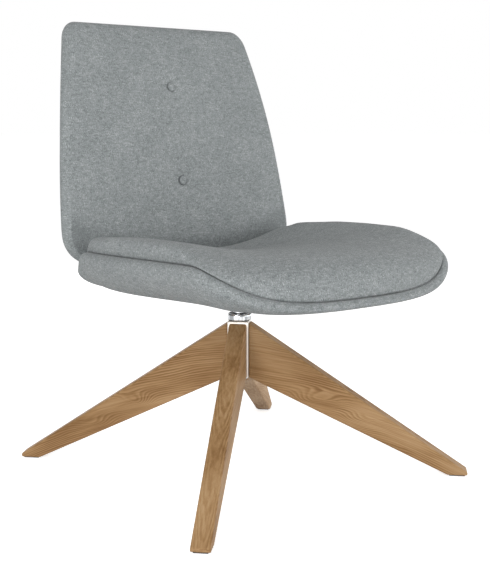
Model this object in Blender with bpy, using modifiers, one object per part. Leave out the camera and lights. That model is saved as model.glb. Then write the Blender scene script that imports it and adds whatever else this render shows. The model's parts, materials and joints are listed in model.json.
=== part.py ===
"""Swivel lounge chair: an upholstered seat and back on a four-legged oak base.

Metres, +Z up, the floor is Z = 0 and a sitter faces -Y. Each piece is drawn about the swivel axis and hangs
on an empty that stands on that axis.
"""

from math import atan, cos, hypot, pi, radians, sin

import bmesh
import bpy
import numpy as np
from mathutils import Matrix, Vector

# Clearances
GAP = 0.0003
RUNNING_GAP = 0.0004
SOFT_GAP = 0.001

# Legs and glides
LEG_REACH = 0.410
LEG_THICKNESS = 0.031
LEG_TOP = 0.267
LEG_UNDERSIDE = 0.168
LEG_EDGE_RADIUS = 0.0025
FOOT_LENGTH = 0.036
FOOT_END = 0.0060
GLIDE_THICKNESS = 0.002
GLIDE_MARGIN = 0.004
LEG_ANGLES = {"front_right": 225, "front_left": 315, "rear_right": 135, "rear_left": 45}

# Hub, its arms and the bolts that hold the legs
HUB_SIDE = 0.038
HUB_RISE = 0.0035
HUB_EDGE_RADIUS = 0.0015
ARM_LENGTH = 0.075
ARM_WIDTH = 0.016
ARM_THICKNESS = 0.006
ARM_HEIGHT = 0.195
LEG_BOLT_DIAMETER = 0.006
LEG_BOLT_HEAD_DIAMETER = 0.011
LEG_BOLT_HEAD_HEIGHT = 0.004
LEG_BOLT_SINK = 0.004
LEG_BOLT_REACHES = (0.026, 0.056)

# Swivel
JOURNAL_DIAMETER = 0.018
POST_DIAMETER = 0.022
BUSH_WALL = 0.0025
BUSH_LENGTH = 0.022
FLANGE_DIAMETER = 0.030
FLANGE_THICKNESS = 0.002
WASHER_THICKNESS = 0.0015
COLLAR_DIAMETER = 0.045
COLLAR_BORE = 0.0355
COLLAR_HEIGHT = 0.0125
COLLAR_ROUNDING = 0.0035
RING_THICKNESS = 0.003
RING_SINK = 0.0015
CLIP_THICKNESS = 0.0015
CLIP_DIAMETER = 0.026
CLIP_SLOT = 0.005
GROOVE_DEPTH = 0.0015
SPINDLE_TAIL = 0.004
SPIGOT_DIAMETER = 0.016

# Seat plate and its bolts
PLATE_SIDE = 0.130
PLATE_THICKNESS = 0.004
PLATE_CORNER_RADIUS = 0.012
PLATE_BOLT_SPACING = 0.096
PLATE_BOLT_DIAMETER = 0.006
PLATE_BOLT_HEAD_DIAMETER = 0.012
PLATE_BOLT_HEAD_HEIGHT = 0.003
NUT_WALL = 0.0012
NUT_FLANGE_DIAMETER = 0.018
NUT_FLANGE_THICKNESS = 0.0015

# Seat tray: the rim is the seam under the cushion
SEAT_WIDTH = 0.494
SEAT_FRONT = 0.3235
SEAT_REAR = 0.192
FRONT_ARC_DEPTH = 0.103
FRONT_SQUARENESS = 2.36
REAR_SQUARENESS = 7.0
RIM_SIDE_RISE = 0.069
RIM_SIDE_TILT = -0.034
RIM_FRONT_RISE = 0.018
RIM_REAR_RISE = 0.037
RIM_FRONT_SLOPE = (0.232, 0.329)
RIM_REAR_SLOPE = (0.118, 0.150)
LIP_SIDE = 0.0166
LIP_FRONT = 0.0112
LIP_REAR = 0.012
LIP_DROP = 0.8
SEAT_UNDERSIDE = 0.334
UNDERSIDE_INSET_SIDE = 0.0985
UNDERSIDE_INSET_FRONT = 0.0449
UNDERSIDE_INSET_REAR = 0.042
BELLY_FULLNESS_SIDE = 1.81
BELLY_FULLNESS_FRONT = 1.96
BELLY_FULLNESS_REAR = 2.0
LIP_FRONT_BLEND = (-0.19, -0.3235)
LIP_REAR_BLEND = (0.0, 0.15)
BELLY_FRONT_BLEND = (-0.273, -0.328)
BELLY_REAR_BLEND = (-0.18, 0.10)
TRAY_FLOOR = 0.010
TRAY_WALL_INSET = 0.046
TRAY_OPENING_RADIUS = 0.095

# Seat cushion: thicknesses above the seat board
CUSHION_REAR_THICKNESS = 0.0304
CUSHION_FRONT_THICKNESS = 0.0634
CUSHION_RISE = (0.12, -0.22)
CUSHION_NOSE_DROP = 0.006
CUSHION_NOSE = (-0.22, -0.3235)
WING_THICKNESS = 0.0994
WING_REAR_DROP = 0.008
WING_REAR_SLOPE = (-0.02, 0.11)
WING_FRONT_DROP = 0.045
WING_FRONT_SLOPE = (-0.12, -0.31)
DISH_CURVE = 2.7
EDGE_ROLL_FRONT = 5.0
EDGE_ROLL_SIDE = 11.0
EDGE_ROLL_REAR = 20.0
EDGE_FRONT_BLEND = (-0.25, -0.33)
EDGE_REAR_BLEND = (0.05, 0.14)
EDGE_FULLNESS = 2.0
EDGE_SWELL = 0.030
SWELL_START = (0.5, 0.7)

# Back cushion
BACK_TOP = 0.802
BACK_CLEARANCE = 0.0015
BACK_THICKNESS = 0.033
BACK_LOW_WIDTH = 0.508
BACK_TOP_WIDTH = 0.395
BACK_TAPER_START = 0.430
BACK_TAPER_BEND = 0.59
BACK_TOP_CORNER = 0.029
BACK_LOW_CORNER = 0.052
BACK_FACE_DEPTH = 0.180
BACK_FACE_HEIGHT = 0.5125
BACK_LEAN = 0.172
BACK_CURL = 0.33
BACK_CURL_START = 0.550
BACK_CROWN = 0.006

# Buttons: the lower one's reach up the back board and the upper one's margin under its top edge
BUTTON_LOWER_REACH = 0.13992
BUTTON_UPPER_MARGIN = 0.01287
BUTTON_DIAMETER = 0.016
BUTTON_BASE_DIAMETER = 0.015
BUTTON_DOME = 0.0035
BUTTON_SKIRT = 0.001
BUTTON_SEAT = 0.0016
STEM_DIAMETER = 0.004
STEM_GRIP = 0.007
TUFT_DEPTH = 0.004
TUFT_RADIUS = 0.030

# Boards and brackets
BOARD_THICKNESS = 0.010
SEAT_BOARD_WIDTH = 0.330
SEAT_BOARD_FRONT = 0.255
SEAT_BOARD_REAR = 0.130
SEAT_BOARD_CORNER = 0.040
BACK_BOARD_WIDTH = 0.320
BACK_BOARD_HEIGHT = 0.330
BACK_BOARD_CORNER = 0.030
BACK_BOARD_COVER = 0.015
BACK_BOARD_LIFT = 0.002
BRACKET_SPACING = 0.180
BRACKET_WIDTH = 0.040
BRACKET_THICKNESS = 0.004
BRACKET_FOOT = 0.090
BRACKET_RISE = 0.075
SCREW_DIAMETER = 0.0036
SCREW_HEAD_DIAMETER = 0.008
SCREW_HEAD_HEIGHT = 0.0025
SCREW_LENGTH = 0.010
FOOT_SCREW_REACHES = (0.055, 0.080)
RISE_SCREW_REACHES = (0.035, 0.060)

# Facets
ROUND_STEPS = 32
SMALL_STEPS = 16
CORNER_STEPS = 6
ROUNDING_STEPS = 4
DOME_STEPS = 5
OUTLINE_SAMPLES = 721
SEAT_SEGMENTS = 60
CUSHION_RINGS = 20
CUSHION_TOP_RINGS = 14
LIP_RINGS = 2
BELLY_RINGS = 4
BOWL_RINGS = 3
BACK_COLUMNS = 14
BACK_ROWS = 16
BACK_EDGE_ROWS = 4
SPACE_ROWS = 6
COLUMN_GATHER = 0.5
ROW_GATHER = 0.4

# Heights and places that follow from the sizes above
HUB_TOP = LEG_TOP + HUB_RISE
HUB_FACE = HUB_SIDE / 2
LEG_START = HUB_FACE + GAP
BUSH_BORE = JOURNAL_DIAMETER + 2 * RUNNING_GAP
BUSH_DIAMETER = BUSH_BORE + 2 * BUSH_WALL
HUB_BORE = BUSH_DIAMETER + 2 * GAP
UPPER_FLANGE_TOP = HUB_TOP + GAP + FLANGE_THICKNESS
THRUST_TOP = UPPER_FLANGE_TOP + GAP + WASHER_THICKNESS
SHOULDER = THRUST_TOP + GAP
LOWER_FLANGE_BOTTOM = LEG_UNDERSIDE - GAP - FLANGE_THICKNESS
RETAINER_BOTTOM = LOWER_FLANGE_BOTTOM - GAP - WASHER_THICKNESS
CLIP_TOP = RETAINER_BOTTOM - GAP
CLIP_BOTTOM = CLIP_TOP - CLIP_THICKNESS
FLOOR_HEIGHT = SEAT_UNDERSIDE + TRAY_FLOOR
BOARD_BOTTOM = FLOOR_HEIGHT + GAP
BOARD_TOP = BOARD_BOTTOM + BOARD_THICKNESS
PLATE_TOP = BOARD_BOTTOM - GAP
PLATE_BOTTOM = PLATE_TOP - PLATE_THICKNESS
CUSHION_FLOOR = BOARD_TOP + GAP
RIM_SIDE_HEIGHT = SEAT_UNDERSIDE + RIM_SIDE_RISE
RIM_FRONT_HEIGHT = SEAT_UNDERSIDE + RIM_FRONT_RISE
RIM_REAR_HEIGHT = SEAT_UNDERSIDE + RIM_REAR_RISE
CUSHION_REAR_HEIGHT = CUSHION_FLOOR + CUSHION_REAR_THICKNESS
CUSHION_FRONT_HEIGHT = CUSHION_FLOOR + CUSHION_FRONT_THICKNESS
WING_HEIGHT = CUSHION_FLOOR + WING_THICKNESS
BACK_BOTTOM = RIM_REAR_HEIGHT + BACK_CLEARANCE
SEAT_HALF = SEAT_WIDTH / 2
TRAY_RINGS = 1 + LIP_RINGS + BELLY_RINGS + 2 + BOWL_RINGS
RIM_SHARE = CUSHION_TOP_RINGS / CUSHION_RINGS
ARC_CENTRE = FRONT_ARC_DEPTH - SEAT_FRONT
LEAN_ANGLE = atan(BACK_LEAN)
BACK_MIDDLE = (BACK_TOP + BACK_BOTTOM) / 2
BACK_REACH = (BACK_TOP - BACK_BOTTOM - BACK_THICKNESS) / 2
BOARD_FOOT = BACK_BOTTOM + BACK_BOARD_LIFT
BUTTON_UPPER_REACH = BACK_BOARD_HEIGHT - BUTTON_UPPER_MARGIN
BUTTON_HEIGHTS = {
    "button_lower": BOARD_FOOT + BUTTON_LOWER_REACH * cos(LEAN_ANGLE),
    "button_upper": BOARD_FOOT + BUTTON_UPPER_REACH * cos(LEAN_ANGLE),
}
FRONT_END = SEAT_FRONT + LIP_FRONT
LEG_CORNER = (LEG_REACH + LEG_THICKNESS / 2) / hypot(1, 1)
SWIVEL_Y = (FRONT_END - LEG_CORNER) / 2


def new_collection(name):
    collection = bpy.data.collections.new(name)
    bpy.context.scene.collection.children.link(collection)
    return collection


def new_look(name, colour, roughness, metallic=0.0):
    look = bpy.data.materials.new(name)
    look.use_nodes = True
    shader = look.node_tree.nodes["Principled BSDF"]
    shader.inputs["Base Color"].default_value = (*colour, 1.0)
    shader.inputs["Roughness"].default_value = roughness
    shader.inputs["Metallic"].default_value = metallic
    look.diffuse_color = (*colour, 1.0)
    return look


for old in list(bpy.data.objects):
    bpy.data.objects.remove(old, do_unlink=True)

PARTS = new_collection("lounge_chair")
CUTTERS = new_collection("lounge_chair_cutters")
FABRIC = {"colour": (0.26, 0.285, 0.29), "roughness": 0.95}
OAK = {"colour": (0.31, 0.19, 0.09), "roughness": 0.55}
PLY = {"colour": (0.55, 0.40, 0.24), "roughness": 0.7}
CHROME = {"colour": (0.80, 0.81, 0.82), "roughness": 0.08, "metallic": 1.0}
STEEL = {"colour": (0.45, 0.46, 0.48), "roughness": 0.35, "metallic": 1.0}
NYLON = {"colour": (0.03, 0.03, 0.03), "roughness": 0.5}


def new_pivot(name):
    pivot = bpy.data.objects.new(name, None)
    pivot.location = (0, SWIVEL_Y, 0)
    PARTS.objects.link(pivot)
    return pivot


BASE = new_pivot("base_pivot")
SEAT = new_pivot("seat_pivot")


def add_part(name, mesh, pivot, finish, matrix=None, smooth_angle=40):
    """A finished sub-part with its own material, hung on its pivot."""
    part = bpy.data.objects.new(name, mesh)
    mesh.materials.clear()
    mesh.materials.append(new_look(name, **finish))
    mesh.shade_smooth()
    mesh.set_sharp_from_angle(angle=radians(smooth_angle))
    part.parent = pivot
    part.matrix_local = matrix or Matrix()
    PARTS.objects.link(part)
    return part


def add_cutter(mesh, matrix=None, pivot=SEAT):
    cutter = bpy.data.objects.new("cutter", mesh)
    cutter.parent = pivot
    cutter.matrix_local = matrix or Matrix()
    cutter.hide_render = True
    cutter.display_type = "WIRE"
    CUTTERS.objects.link(cutter)
    return cutter


def cut(part, mesh, matrix=None, operation="DIFFERENCE"):
    modifier = part.modifiers.new("cut", "BOOLEAN")
    modifier.operation = operation
    modifier.object = add_cutter(mesh, matrix, part.parent)


def finished_mesh(name, source):
    """The evaluated mesh of an object, with its seams welded, and the object removed."""
    graph = bpy.context.evaluated_depsgraph_get()
    graph.update()
    mesh = bpy.data.meshes.new_from_object(source.evaluated_get(graph))
    mesh.name = name
    shape = bmesh.new()
    shape.from_mesh(mesh)
    bmesh.ops.remove_doubles(shape, verts=shape.verts, dist=1e-6)
    shape.to_mesh(mesh)
    shape.free()
    bpy.data.objects.remove(source, do_unlink=True)
    return mesh


def scratch(data):
    source = bpy.data.objects.new("scratch", data)
    bpy.context.scene.collection.objects.link(source)
    return source


def shape_mesh(name, shape):
    mesh = bpy.data.meshes.new(name)
    shape.to_mesh(mesh)
    shape.free()
    return mesh


def box_mesh(low, high):
    low = Vector(low)
    high = Vector(high)
    shape = bmesh.new()
    bmesh.ops.create_cube(shape, size=1.0)
    size = Matrix.Diagonal((*(high - low), 1.0))
    bmesh.ops.transform(shape, matrix=Matrix.Translation((low + high) / 2) @ size, verts=shape.verts)
    return shape_mesh("box", shape)


def turned_mesh(profile, steps=ROUND_STEPS, closed=False):
    """A profile of (radius, height) turned about Z. It runs down its outer side."""
    shape = bmesh.new()
    points = [shape.verts.new((radius, 0, height)) for radius, height in profile]
    for first, second in zip(points, points[1:]):
        shape.edges.new((first, second))
    if closed:
        shape.edges.new((points[-1], points[0]))
    source = scratch(shape_mesh("profile", shape))
    screw = source.modifiers.new("turn", "SCREW")
    screw.steps = steps
    screw.render_steps = steps
    screw.use_merge_vertices = True
    screw.merge_threshold = 1e-5
    return finished_mesh("turned", source)


def ring_mesh(bore, diameter, low, high, steps=ROUND_STEPS):
    inner = bore / 2
    outer = diameter / 2
    return turned_mesh([(outer, high), (outer, low), (inner, low), (inner, high)], steps, closed=True)


def rod_mesh(diameter, low, high, steps=SMALL_STEPS):
    radius = diameter / 2
    return turned_mesh([(0, high), (radius, high), (radius, low), (0, low)], steps)


def headed_mesh(head, head_low, head_high, shank, end):
    """A bolt or screw standing on Z: its head, then its shank as far as end, above or below the head."""
    if end > head_high:
        profile = [(0, end), (shank / 2, end), (shank / 2, head_high), (head / 2, head_high)]
        profile += [(head / 2, head_low), (0, head_low)]
    else:
        profile = [(0, head_high), (head / 2, head_high), (head / 2, head_low), (shank / 2, head_low)]
        profile += [(shank / 2, end), (0, end)]
    return turned_mesh(profile, SMALL_STEPS)


def panel_mesh(outline, thickness):
    """A flat outline in XY, filled and extruded about Z = 0."""
    curve = bpy.data.curves.new("outline", "CURVE")
    curve.dimensions = "2D"
    curve.fill_mode = "BOTH"
    curve.extrude = thickness / 2
    spline = curve.splines.new("POLY")
    spline.points.add(len(outline) - 1)
    for point, (x, y) in zip(spline.points, outline):
        point.co = (x, y, 0, 1)
    spline.use_cyclic_u = True
    return finished_mesh("panel", scratch(curve))


def rounded_rectangle(low, high, radius, steps=CORNER_STEPS):
    """Corner points of an upright rectangle with round corners, anticlockwise."""
    points = []
    corners = [(high[0], high[1], 0), (low[0], high[1], 90), (low[0], low[1], 180), (high[0], low[1], 270)]
    for x, y, start in corners:
        centre_x = x - radius if x == high[0] else x + radius
        centre_y = y - radius if y == high[1] else y + radius
        for step in range(steps + 1):
            angle = radians(start + 90 * step / steps)
            points.append((centre_x + radius * cos(angle), centre_y + radius * sin(angle)))
    return points


def add_copies(name, mesh, pivot, finish, places):
    """One part for each place, numbered from 1."""
    for number, place in enumerate(places, 1):
        add_part(f"{name}_{number}", mesh.copy(), pivot, finish, place)


def ease(start, end, value):
    """0 before start and 1 after end, smooth between them. End may be below start."""
    share = np.clip((value - start) / (end - start), 0, 1)
    return share * share * (3 - 2 * share)


# Legs, glides and leg bolts

def leg_turn(angle):
    """From the leg's own drawing, reach along X and height along Y, to its place on the base."""
    return Matrix.Rotation(radians(angle), 4, "Z") @ Matrix.Rotation(pi / 2, 4, "X")


def leg_low_edge(reach):
    foot = LEG_REACH - FOOT_LENGTH
    return LEG_UNDERSIDE + (GLIDE_THICKNESS - LEG_UNDERSIDE) * (reach - LEG_START) / (foot - LEG_START)


def bolt_reaches():
    return [HUB_FACE + reach for reach in LEG_BOLT_REACHES]


def bolt_seat(reach):
    """Height of the shoulder that a leg bolt's head bears on."""
    return leg_low_edge(reach) + LEG_BOLT_SINK + LEG_BOLT_HEAD_HEIGHT


def leg_mesh():
    sole = GLIDE_THICKNESS + GAP
    foot = LEG_REACH - FOOT_LENGTH
    outline = [(LEG_START, LEG_UNDERSIDE), (foot, sole), (LEG_REACH, sole)]
    outline += [(LEG_REACH, sole + FOOT_END), (LEG_START, LEG_TOP)]
    leg = bpy.data.objects.new("leg", panel_mesh(outline, LEG_THICKNESS))
    bpy.context.scene.collection.objects.link(leg)
    bevel = leg.modifiers.new("edges", "BEVEL")
    bevel.width = LEG_EDGE_RADIUS
    bevel.segments = 2
    half_width = ARM_WIDTH / 2 + GAP
    half_height = ARM_THICKNESS / 2 + GAP
    mortise_low = (0, ARM_HEIGHT - half_height, -half_width)
    mortise_high = (HUB_FACE + ARM_LENGTH + GAP, ARM_HEIGHT + half_height, half_width)
    cut(leg, box_mesh(mortise_low, mortise_high))
    upright = Matrix.Rotation(-pi / 2, 4, "X")
    for reach in bolt_reaches():
        seat = bolt_seat(reach) + GAP
        wide = LEG_BOLT_HEAD_DIAMETER + 2 * GAP
        narrow = LEG_BOLT_DIAMETER + 2 * GAP
        hole = headed_mesh(wide, 0, seat, narrow, ARM_HEIGHT)
        cut(leg, hole, Matrix.Translation((reach, 0, 0)) @ upright)
    return finished_mesh("leg", leg)


def make_legs():
    mesh = leg_mesh()
    for name, angle in LEG_ANGLES.items():
        add_part("leg_" + name, mesh.copy(), BASE, OAK, leg_turn(angle))


def make_glides():
    inner = LEG_REACH - FOOT_LENGTH + GLIDE_MARGIN
    outer = LEG_REACH - GLIDE_MARGIN
    half = LEG_THICKNESS / 2 - GLIDE_MARGIN
    mesh = box_mesh((inner, -half, 0), (outer, half, GLIDE_THICKNESS))
    for name, angle in LEG_ANGLES.items():
        add_part("glide_" + name, mesh.copy(), BASE, NYLON, Matrix.Rotation(radians(angle), 4, "Z"))


def make_leg_bolts():
    end = ARM_HEIGHT + ARM_THICKNESS / 2 - GAP
    for name, angle in LEG_ANGLES.items():
        for place, reach in zip(("inner", "outer"), bolt_reaches()):
            seat = bolt_seat(reach)
            low = seat - LEG_BOLT_HEAD_HEIGHT
            bolt = headed_mesh(LEG_BOLT_HEAD_DIAMETER, low, seat, LEG_BOLT_DIAMETER, end)
            turn = Matrix.Rotation(radians(angle), 4, "Z") @ Matrix.Translation((reach, 0, 0))
            add_part(f"leg_bolt_{name}_{place}", bolt, BASE, STEEL, turn)


# Hub and swivel

def make_hub():
    half = HUB_FACE
    mesh = box_mesh((-half, -half, LEG_UNDERSIDE), (half, half, HUB_TOP))
    turn = Matrix.Rotation(radians(45), 4, "Z")
    hub = add_part("base_hub", mesh, BASE, CHROME, turn)
    bevel = hub.modifiers.new("edges", "BEVEL")
    bevel.width = HUB_EDGE_RADIUS
    bevel.segments = 2
    reach = HUB_FACE + ARM_LENGTH
    for along_x in (True, False):
        size = (reach, ARM_WIDTH / 2) if along_x else (ARM_WIDTH / 2, reach)
        low = (-size[0], -size[1], ARM_HEIGHT - ARM_THICKNESS / 2)
        high = (size[0], size[1], ARM_HEIGHT + ARM_THICKNESS / 2)
        cut(hub, box_mesh(low, high), turn, "UNION")
    cut(hub, rod_mesh(HUB_BORE, 0, LEG_TOP + HUB_TOP, ROUND_STEPS))
    hole = LEG_BOLT_DIAMETER + 2 * GAP
    for angle in LEG_ANGLES.values():
        for reach in bolt_reaches():
            place = Matrix.Rotation(radians(angle), 4, "Z") @ Matrix.Translation((reach, 0, 0))
            cut(hub, rod_mesh(hole, LEG_UNDERSIDE, HUB_TOP), place)


def make_bush(name, flange_low, flange_high, end):
    bore = BUSH_BORE / 2
    wall = BUSH_DIAMETER / 2
    rim = FLANGE_DIAMETER / 2
    if end < flange_low:
        outside = [(rim, flange_high), (rim, flange_low), (wall, flange_low), (wall, end)]
        profile = outside + [(bore, end), (bore, flange_high)]
    else:
        outside = [(wall, end), (wall, flange_high), (rim, flange_high), (rim, flange_low)]
        profile = outside + [(bore, flange_low), (bore, end)]
    add_part(name, turned_mesh(profile, closed=True), BASE, NYLON)


def make_bearings():
    upper_low = UPPER_FLANGE_TOP - FLANGE_THICKNESS
    make_bush("upper_bush", upper_low, UPPER_FLANGE_TOP, HUB_TOP - BUSH_LENGTH)
    lower_high = LOWER_FLANGE_BOTTOM + FLANGE_THICKNESS
    make_bush("lower_bush", LOWER_FLANGE_BOTTOM, lower_high, LEG_UNDERSIDE + BUSH_LENGTH)
    thrust = ring_mesh(BUSH_BORE, FLANGE_DIAMETER, THRUST_TOP - WASHER_THICKNESS, THRUST_TOP)
    add_part("thrust_washer", thrust, BASE, STEEL)


def make_collar():
    low = HUB_TOP + GAP
    top = low + COLLAR_HEIGHT
    outer = COLLAR_DIAMETER / 2
    bore = COLLAR_BORE / 2
    profile = []
    for step in range(ROUNDING_STEPS + 1):
        angle = pi / 2 * (1 - step / ROUNDING_STEPS)
        radius = outer - COLLAR_ROUNDING * (1 - cos(angle))
        profile.append((radius, top - COLLAR_ROUNDING * (1 - sin(angle))))
    for step in range(ROUNDING_STEPS + 1):
        angle = pi / 2 * step / ROUNDING_STEPS
        radius = outer - COLLAR_ROUNDING * (1 - cos(angle))
        profile.append((radius, low + COLLAR_ROUNDING * (1 - sin(angle))))
    profile += [(bore, low), (bore, top)]
    add_part("swivel_collar", turned_mesh(profile, closed=True), BASE, CHROME)
    ring_top = top - RING_SINK
    ring_bore = POST_DIAMETER + 2 * RUNNING_GAP
    ring = ring_mesh(ring_bore, COLLAR_BORE - 2 * GAP, ring_top - RING_THICKNESS, ring_top)
    add_part("collar_ring", ring, BASE, NYLON)


def make_spindle():
    post = POST_DIAMETER / 2
    journal = JOURNAL_DIAMETER / 2
    groove = journal - GROOVE_DEPTH
    spigot = SPIGOT_DIAMETER / 2
    post_top = PLATE_BOTTOM - GAP
    tail = CLIP_BOTTOM - GAP - SPINDLE_TAIL
    profile = [(0, PLATE_TOP), (spigot, PLATE_TOP), (spigot, post_top), (post, post_top), (post, SHOULDER)]
    profile += [(journal, SHOULDER), (journal, CLIP_TOP + GAP), (groove, CLIP_TOP + GAP)]
    profile += [(groove, CLIP_BOTTOM - GAP), (journal, CLIP_BOTTOM - GAP), (journal, tail), (0, tail)]
    add_part("spindle", turned_mesh(profile), SEAT, CHROME)


def make_retainer():
    top = RETAINER_BOTTOM + WASHER_THICKNESS
    washer = ring_mesh(BUSH_BORE, FLANGE_DIAMETER, RETAINER_BOTTOM, top)
    add_part("retaining_washer", washer, SEAT, STEEL)
    groove = JOURNAL_DIAMETER - 2 * GROOVE_DEPTH
    ring = ring_mesh(groove + 2 * GAP, CLIP_DIAMETER, CLIP_BOTTOM, CLIP_TOP)
    clip = add_part("retaining_clip", ring, SEAT, STEEL)
    half = CLIP_SLOT / 2
    slot_low = (-half, 0, CLIP_BOTTOM - CLIP_THICKNESS)
    cut(clip, box_mesh(slot_low, (half, CLIP_DIAMETER, CLIP_TOP + CLIP_THICKNESS)))


# Plate, boards and brackets

def plate_bolt_places():
    half = PLATE_BOLT_SPACING / 2
    return [Matrix.Translation((x, y, 0)) for x in (-half, half) for y in (-half, half)]


def nut_barrel():
    return PLATE_BOLT_DIAMETER + 2 * GAP + 2 * NUT_WALL


def make_plate():
    half = PLATE_SIDE / 2
    outline = rounded_rectangle((-half, -half), (half, half), PLATE_CORNER_RADIUS)
    middle = (PLATE_TOP + PLATE_BOTTOM) / 2
    place = Matrix.Translation((0, 0, middle))
    plate = add_part("mounting_plate", panel_mesh(outline, PLATE_THICKNESS), SEAT, STEEL, place)
    cut(plate, rod_mesh(SPIGOT_DIAMETER + 2 * GAP, 0, 2 * PLATE_TOP, ROUND_STEPS))
    for bolt in plate_bolt_places():
        cut(plate, rod_mesh(PLATE_BOLT_DIAMETER + 2 * GAP, 0, 2 * PLATE_TOP), bolt)


def make_plate_bolts():
    high = PLATE_BOTTOM - GAP
    low = high - PLATE_BOLT_HEAD_HEIGHT
    bolt = headed_mesh(PLATE_BOLT_HEAD_DIAMETER, low, high, PLATE_BOLT_DIAMETER, BOARD_TOP - GAP)
    add_copies("plate_bolt", bolt, SEAT, STEEL, plate_bolt_places())
    bore = PLATE_BOLT_DIAMETER / 2 + GAP
    barrel = nut_barrel() / 2
    flange = NUT_FLANGE_DIAMETER / 2
    flange_low = BOARD_TOP - NUT_FLANGE_THICKNESS
    end = BOARD_BOTTOM + GAP
    profile = [(flange, BOARD_TOP), (flange, flange_low), (barrel, flange_low), (barrel, end)]
    nut = turned_mesh(profile + [(bore, end), (bore, BOARD_TOP)], SMALL_STEPS, closed=True)
    add_copies("tee_nut", nut, SEAT, STEEL, plate_bolt_places())


def make_seat_board():
    half = SEAT_BOARD_WIDTH / 2
    outline = rounded_rectangle((-half, -SEAT_BOARD_FRONT), (half, SEAT_BOARD_REAR), SEAT_BOARD_CORNER)
    middle = (BOARD_TOP + BOARD_BOTTOM) / 2
    board = add_part(
        "seat_board", panel_mesh(outline, BOARD_THICKNESS), SEAT, PLY, Matrix.Translation((0, 0, middle))
    )
    sink = BOARD_TOP - NUT_FLANGE_THICKNESS - GAP
    for bolt in plate_bolt_places():
        hole = headed_mesh(NUT_FLANGE_DIAMETER + 2 * GAP, sink, 2 * BOARD_TOP, nut_barrel() + 2 * GAP, 0)
        cut(board, hole, bolt)
    for place in foot_screw_places():
        cut(board, rod_mesh(SCREW_DIAMETER + 2 * GAP, -BOARD_TOP, BOARD_TOP), place)


def board_frame():
    """Frame of the back board: X across, Y up along it, Z out of its front face, at its lower edge."""
    depth = face_line(BOARD_FOOT) + BACK_BOARD_COVER / cos(LEAN_ANGLE)
    return Matrix.Translation((0, depth, BOARD_FOOT)) @ Matrix.Rotation(pi / 2 - LEAN_ANGLE, 4, "X")


def make_back_board():
    half = BACK_BOARD_WIDTH / 2
    outline = rounded_rectangle((-half, 0), (half, BACK_BOARD_HEIGHT), BACK_BOARD_CORNER)
    place = board_frame() @ Matrix.Translation((0, 0, -BOARD_THICKNESS / 2))
    board = add_part("back_board", panel_mesh(outline, BOARD_THICKNESS), SEAT, PLY, place)
    for screw in rise_screw_places():
        cut(board, rod_mesh(SCREW_DIAMETER + 2 * GAP, -BOARD_TOP, BOARD_TOP), screw)
    for height in BUTTON_HEIGHTS.values():
        cut(board, rod_mesh(STEM_DIAMETER + 2 * GAP, -BACK_TOP, BACK_TOP), button_frame(height))


def bracket_outline():
    """Depth and height of the bracket's L: its foot on the seat board, its rise up the back board."""
    low = BOARD_TOP + GAP
    frame = board_frame()
    wall = BRACKET_THICKNESS / cos(LEAN_ANGLE)

    def rear(height):
        along = (height - frame.translation.z) * BACK_LEAN
        return frame.translation.y + along - GAP / cos(LEAN_ANGLE)

    inner = low + BRACKET_THICKNESS
    top = low + BRACKET_RISE
    toe = rear(low) - BRACKET_FOOT
    outline = [(toe, low), (rear(low), low), (rear(top), top), (rear(top) - wall, top)]
    return outline + [(rear(inner) - wall, inner), (toe, inner)]


def bracket_sides():
    return {"bracket_right": -BRACKET_SPACING / 2, "bracket_left": BRACKET_SPACING / 2}


def screw_columns():
    return list(bracket_sides().values())


def foot_screw_places():
    """Frames on the bracket feet, Z up out of the foot."""
    outline = bracket_outline()
    heel = outline[1][0]
    top = outline[5][1]
    depths = [heel - reach for reach in FOOT_SCREW_REACHES]
    return [Matrix.Translation((x, depth, top)) for x in screw_columns() for depth in depths]


def rise_screw_places():
    """Frames on the bracket rises, Z forward out of the rise."""
    low = BOARD_TOP + GAP - board_frame().translation.z
    face = GAP + BRACKET_THICKNESS
    places = []
    for x in screw_columns():
        for reach in RISE_SCREW_REACHES:
            along = (low + reach) / cos(LEAN_ANGLE)
            places.append(board_frame() @ Matrix.Translation((x, along, face)))
    return places


def make_brackets():
    turn = Matrix.Rotation(pi / 2, 4, "Z") @ Matrix.Rotation(pi / 2, 4, "X")
    mesh = panel_mesh(bracket_outline(), BRACKET_WIDTH)
    hole = rod_mesh(SCREW_DIAMETER + 2 * GAP, -BRACKET_RISE, BRACKET_RISE / 4)
    for name, x in bracket_sides().items():
        bracket = add_part(name, mesh.copy(), SEAT, STEEL, Matrix.Translation((x, 0, 0)) @ turn)
        for place in foot_screw_places() + rise_screw_places():
            if abs(place.translation.x - x) < BRACKET_WIDTH / 2:
                cut(bracket, hole.copy(), place)
    screw = headed_mesh(SCREW_HEAD_DIAMETER, GAP, GAP + SCREW_HEAD_HEIGHT, SCREW_DIAMETER, -SCREW_LENGTH)
    add_copies("bracket_screw", screw, SEAT, STEEL, foot_screw_places() + rise_screw_places())


# Seat tray and cushion

def rim_outline(angle, offset=0.0):
    """Plan outline about the centre of the front arc: 0 is the front, pi the rear, + the sitter's left."""
    along = np.cos(angle)
    across = np.sin(angle)
    ahead = along > 0
    power = 2 / np.where(ahead, FRONT_SQUARENESS, REAR_SQUARENESS)
    depth = np.where(ahead, FRONT_ARC_DEPTH, SEAT_REAR - ARC_CENTRE) + offset
    x = (SEAT_HALF + offset) * np.sign(across) * np.abs(across) ** power
    y = ARC_CENTRE - depth * np.sign(along) * np.abs(along) ** power
    return x, y


def rim_height(y):
    side = RIM_SIDE_HEIGHT + RIM_SIDE_TILT * y
    front = (RIM_FRONT_HEIGHT - side) * ease(*RIM_FRONT_SLOPE, -y)
    rear = (RIM_REAR_HEIGHT - side) * ease(*RIM_REAR_SLOPE, y)
    return side + front + rear


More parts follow.
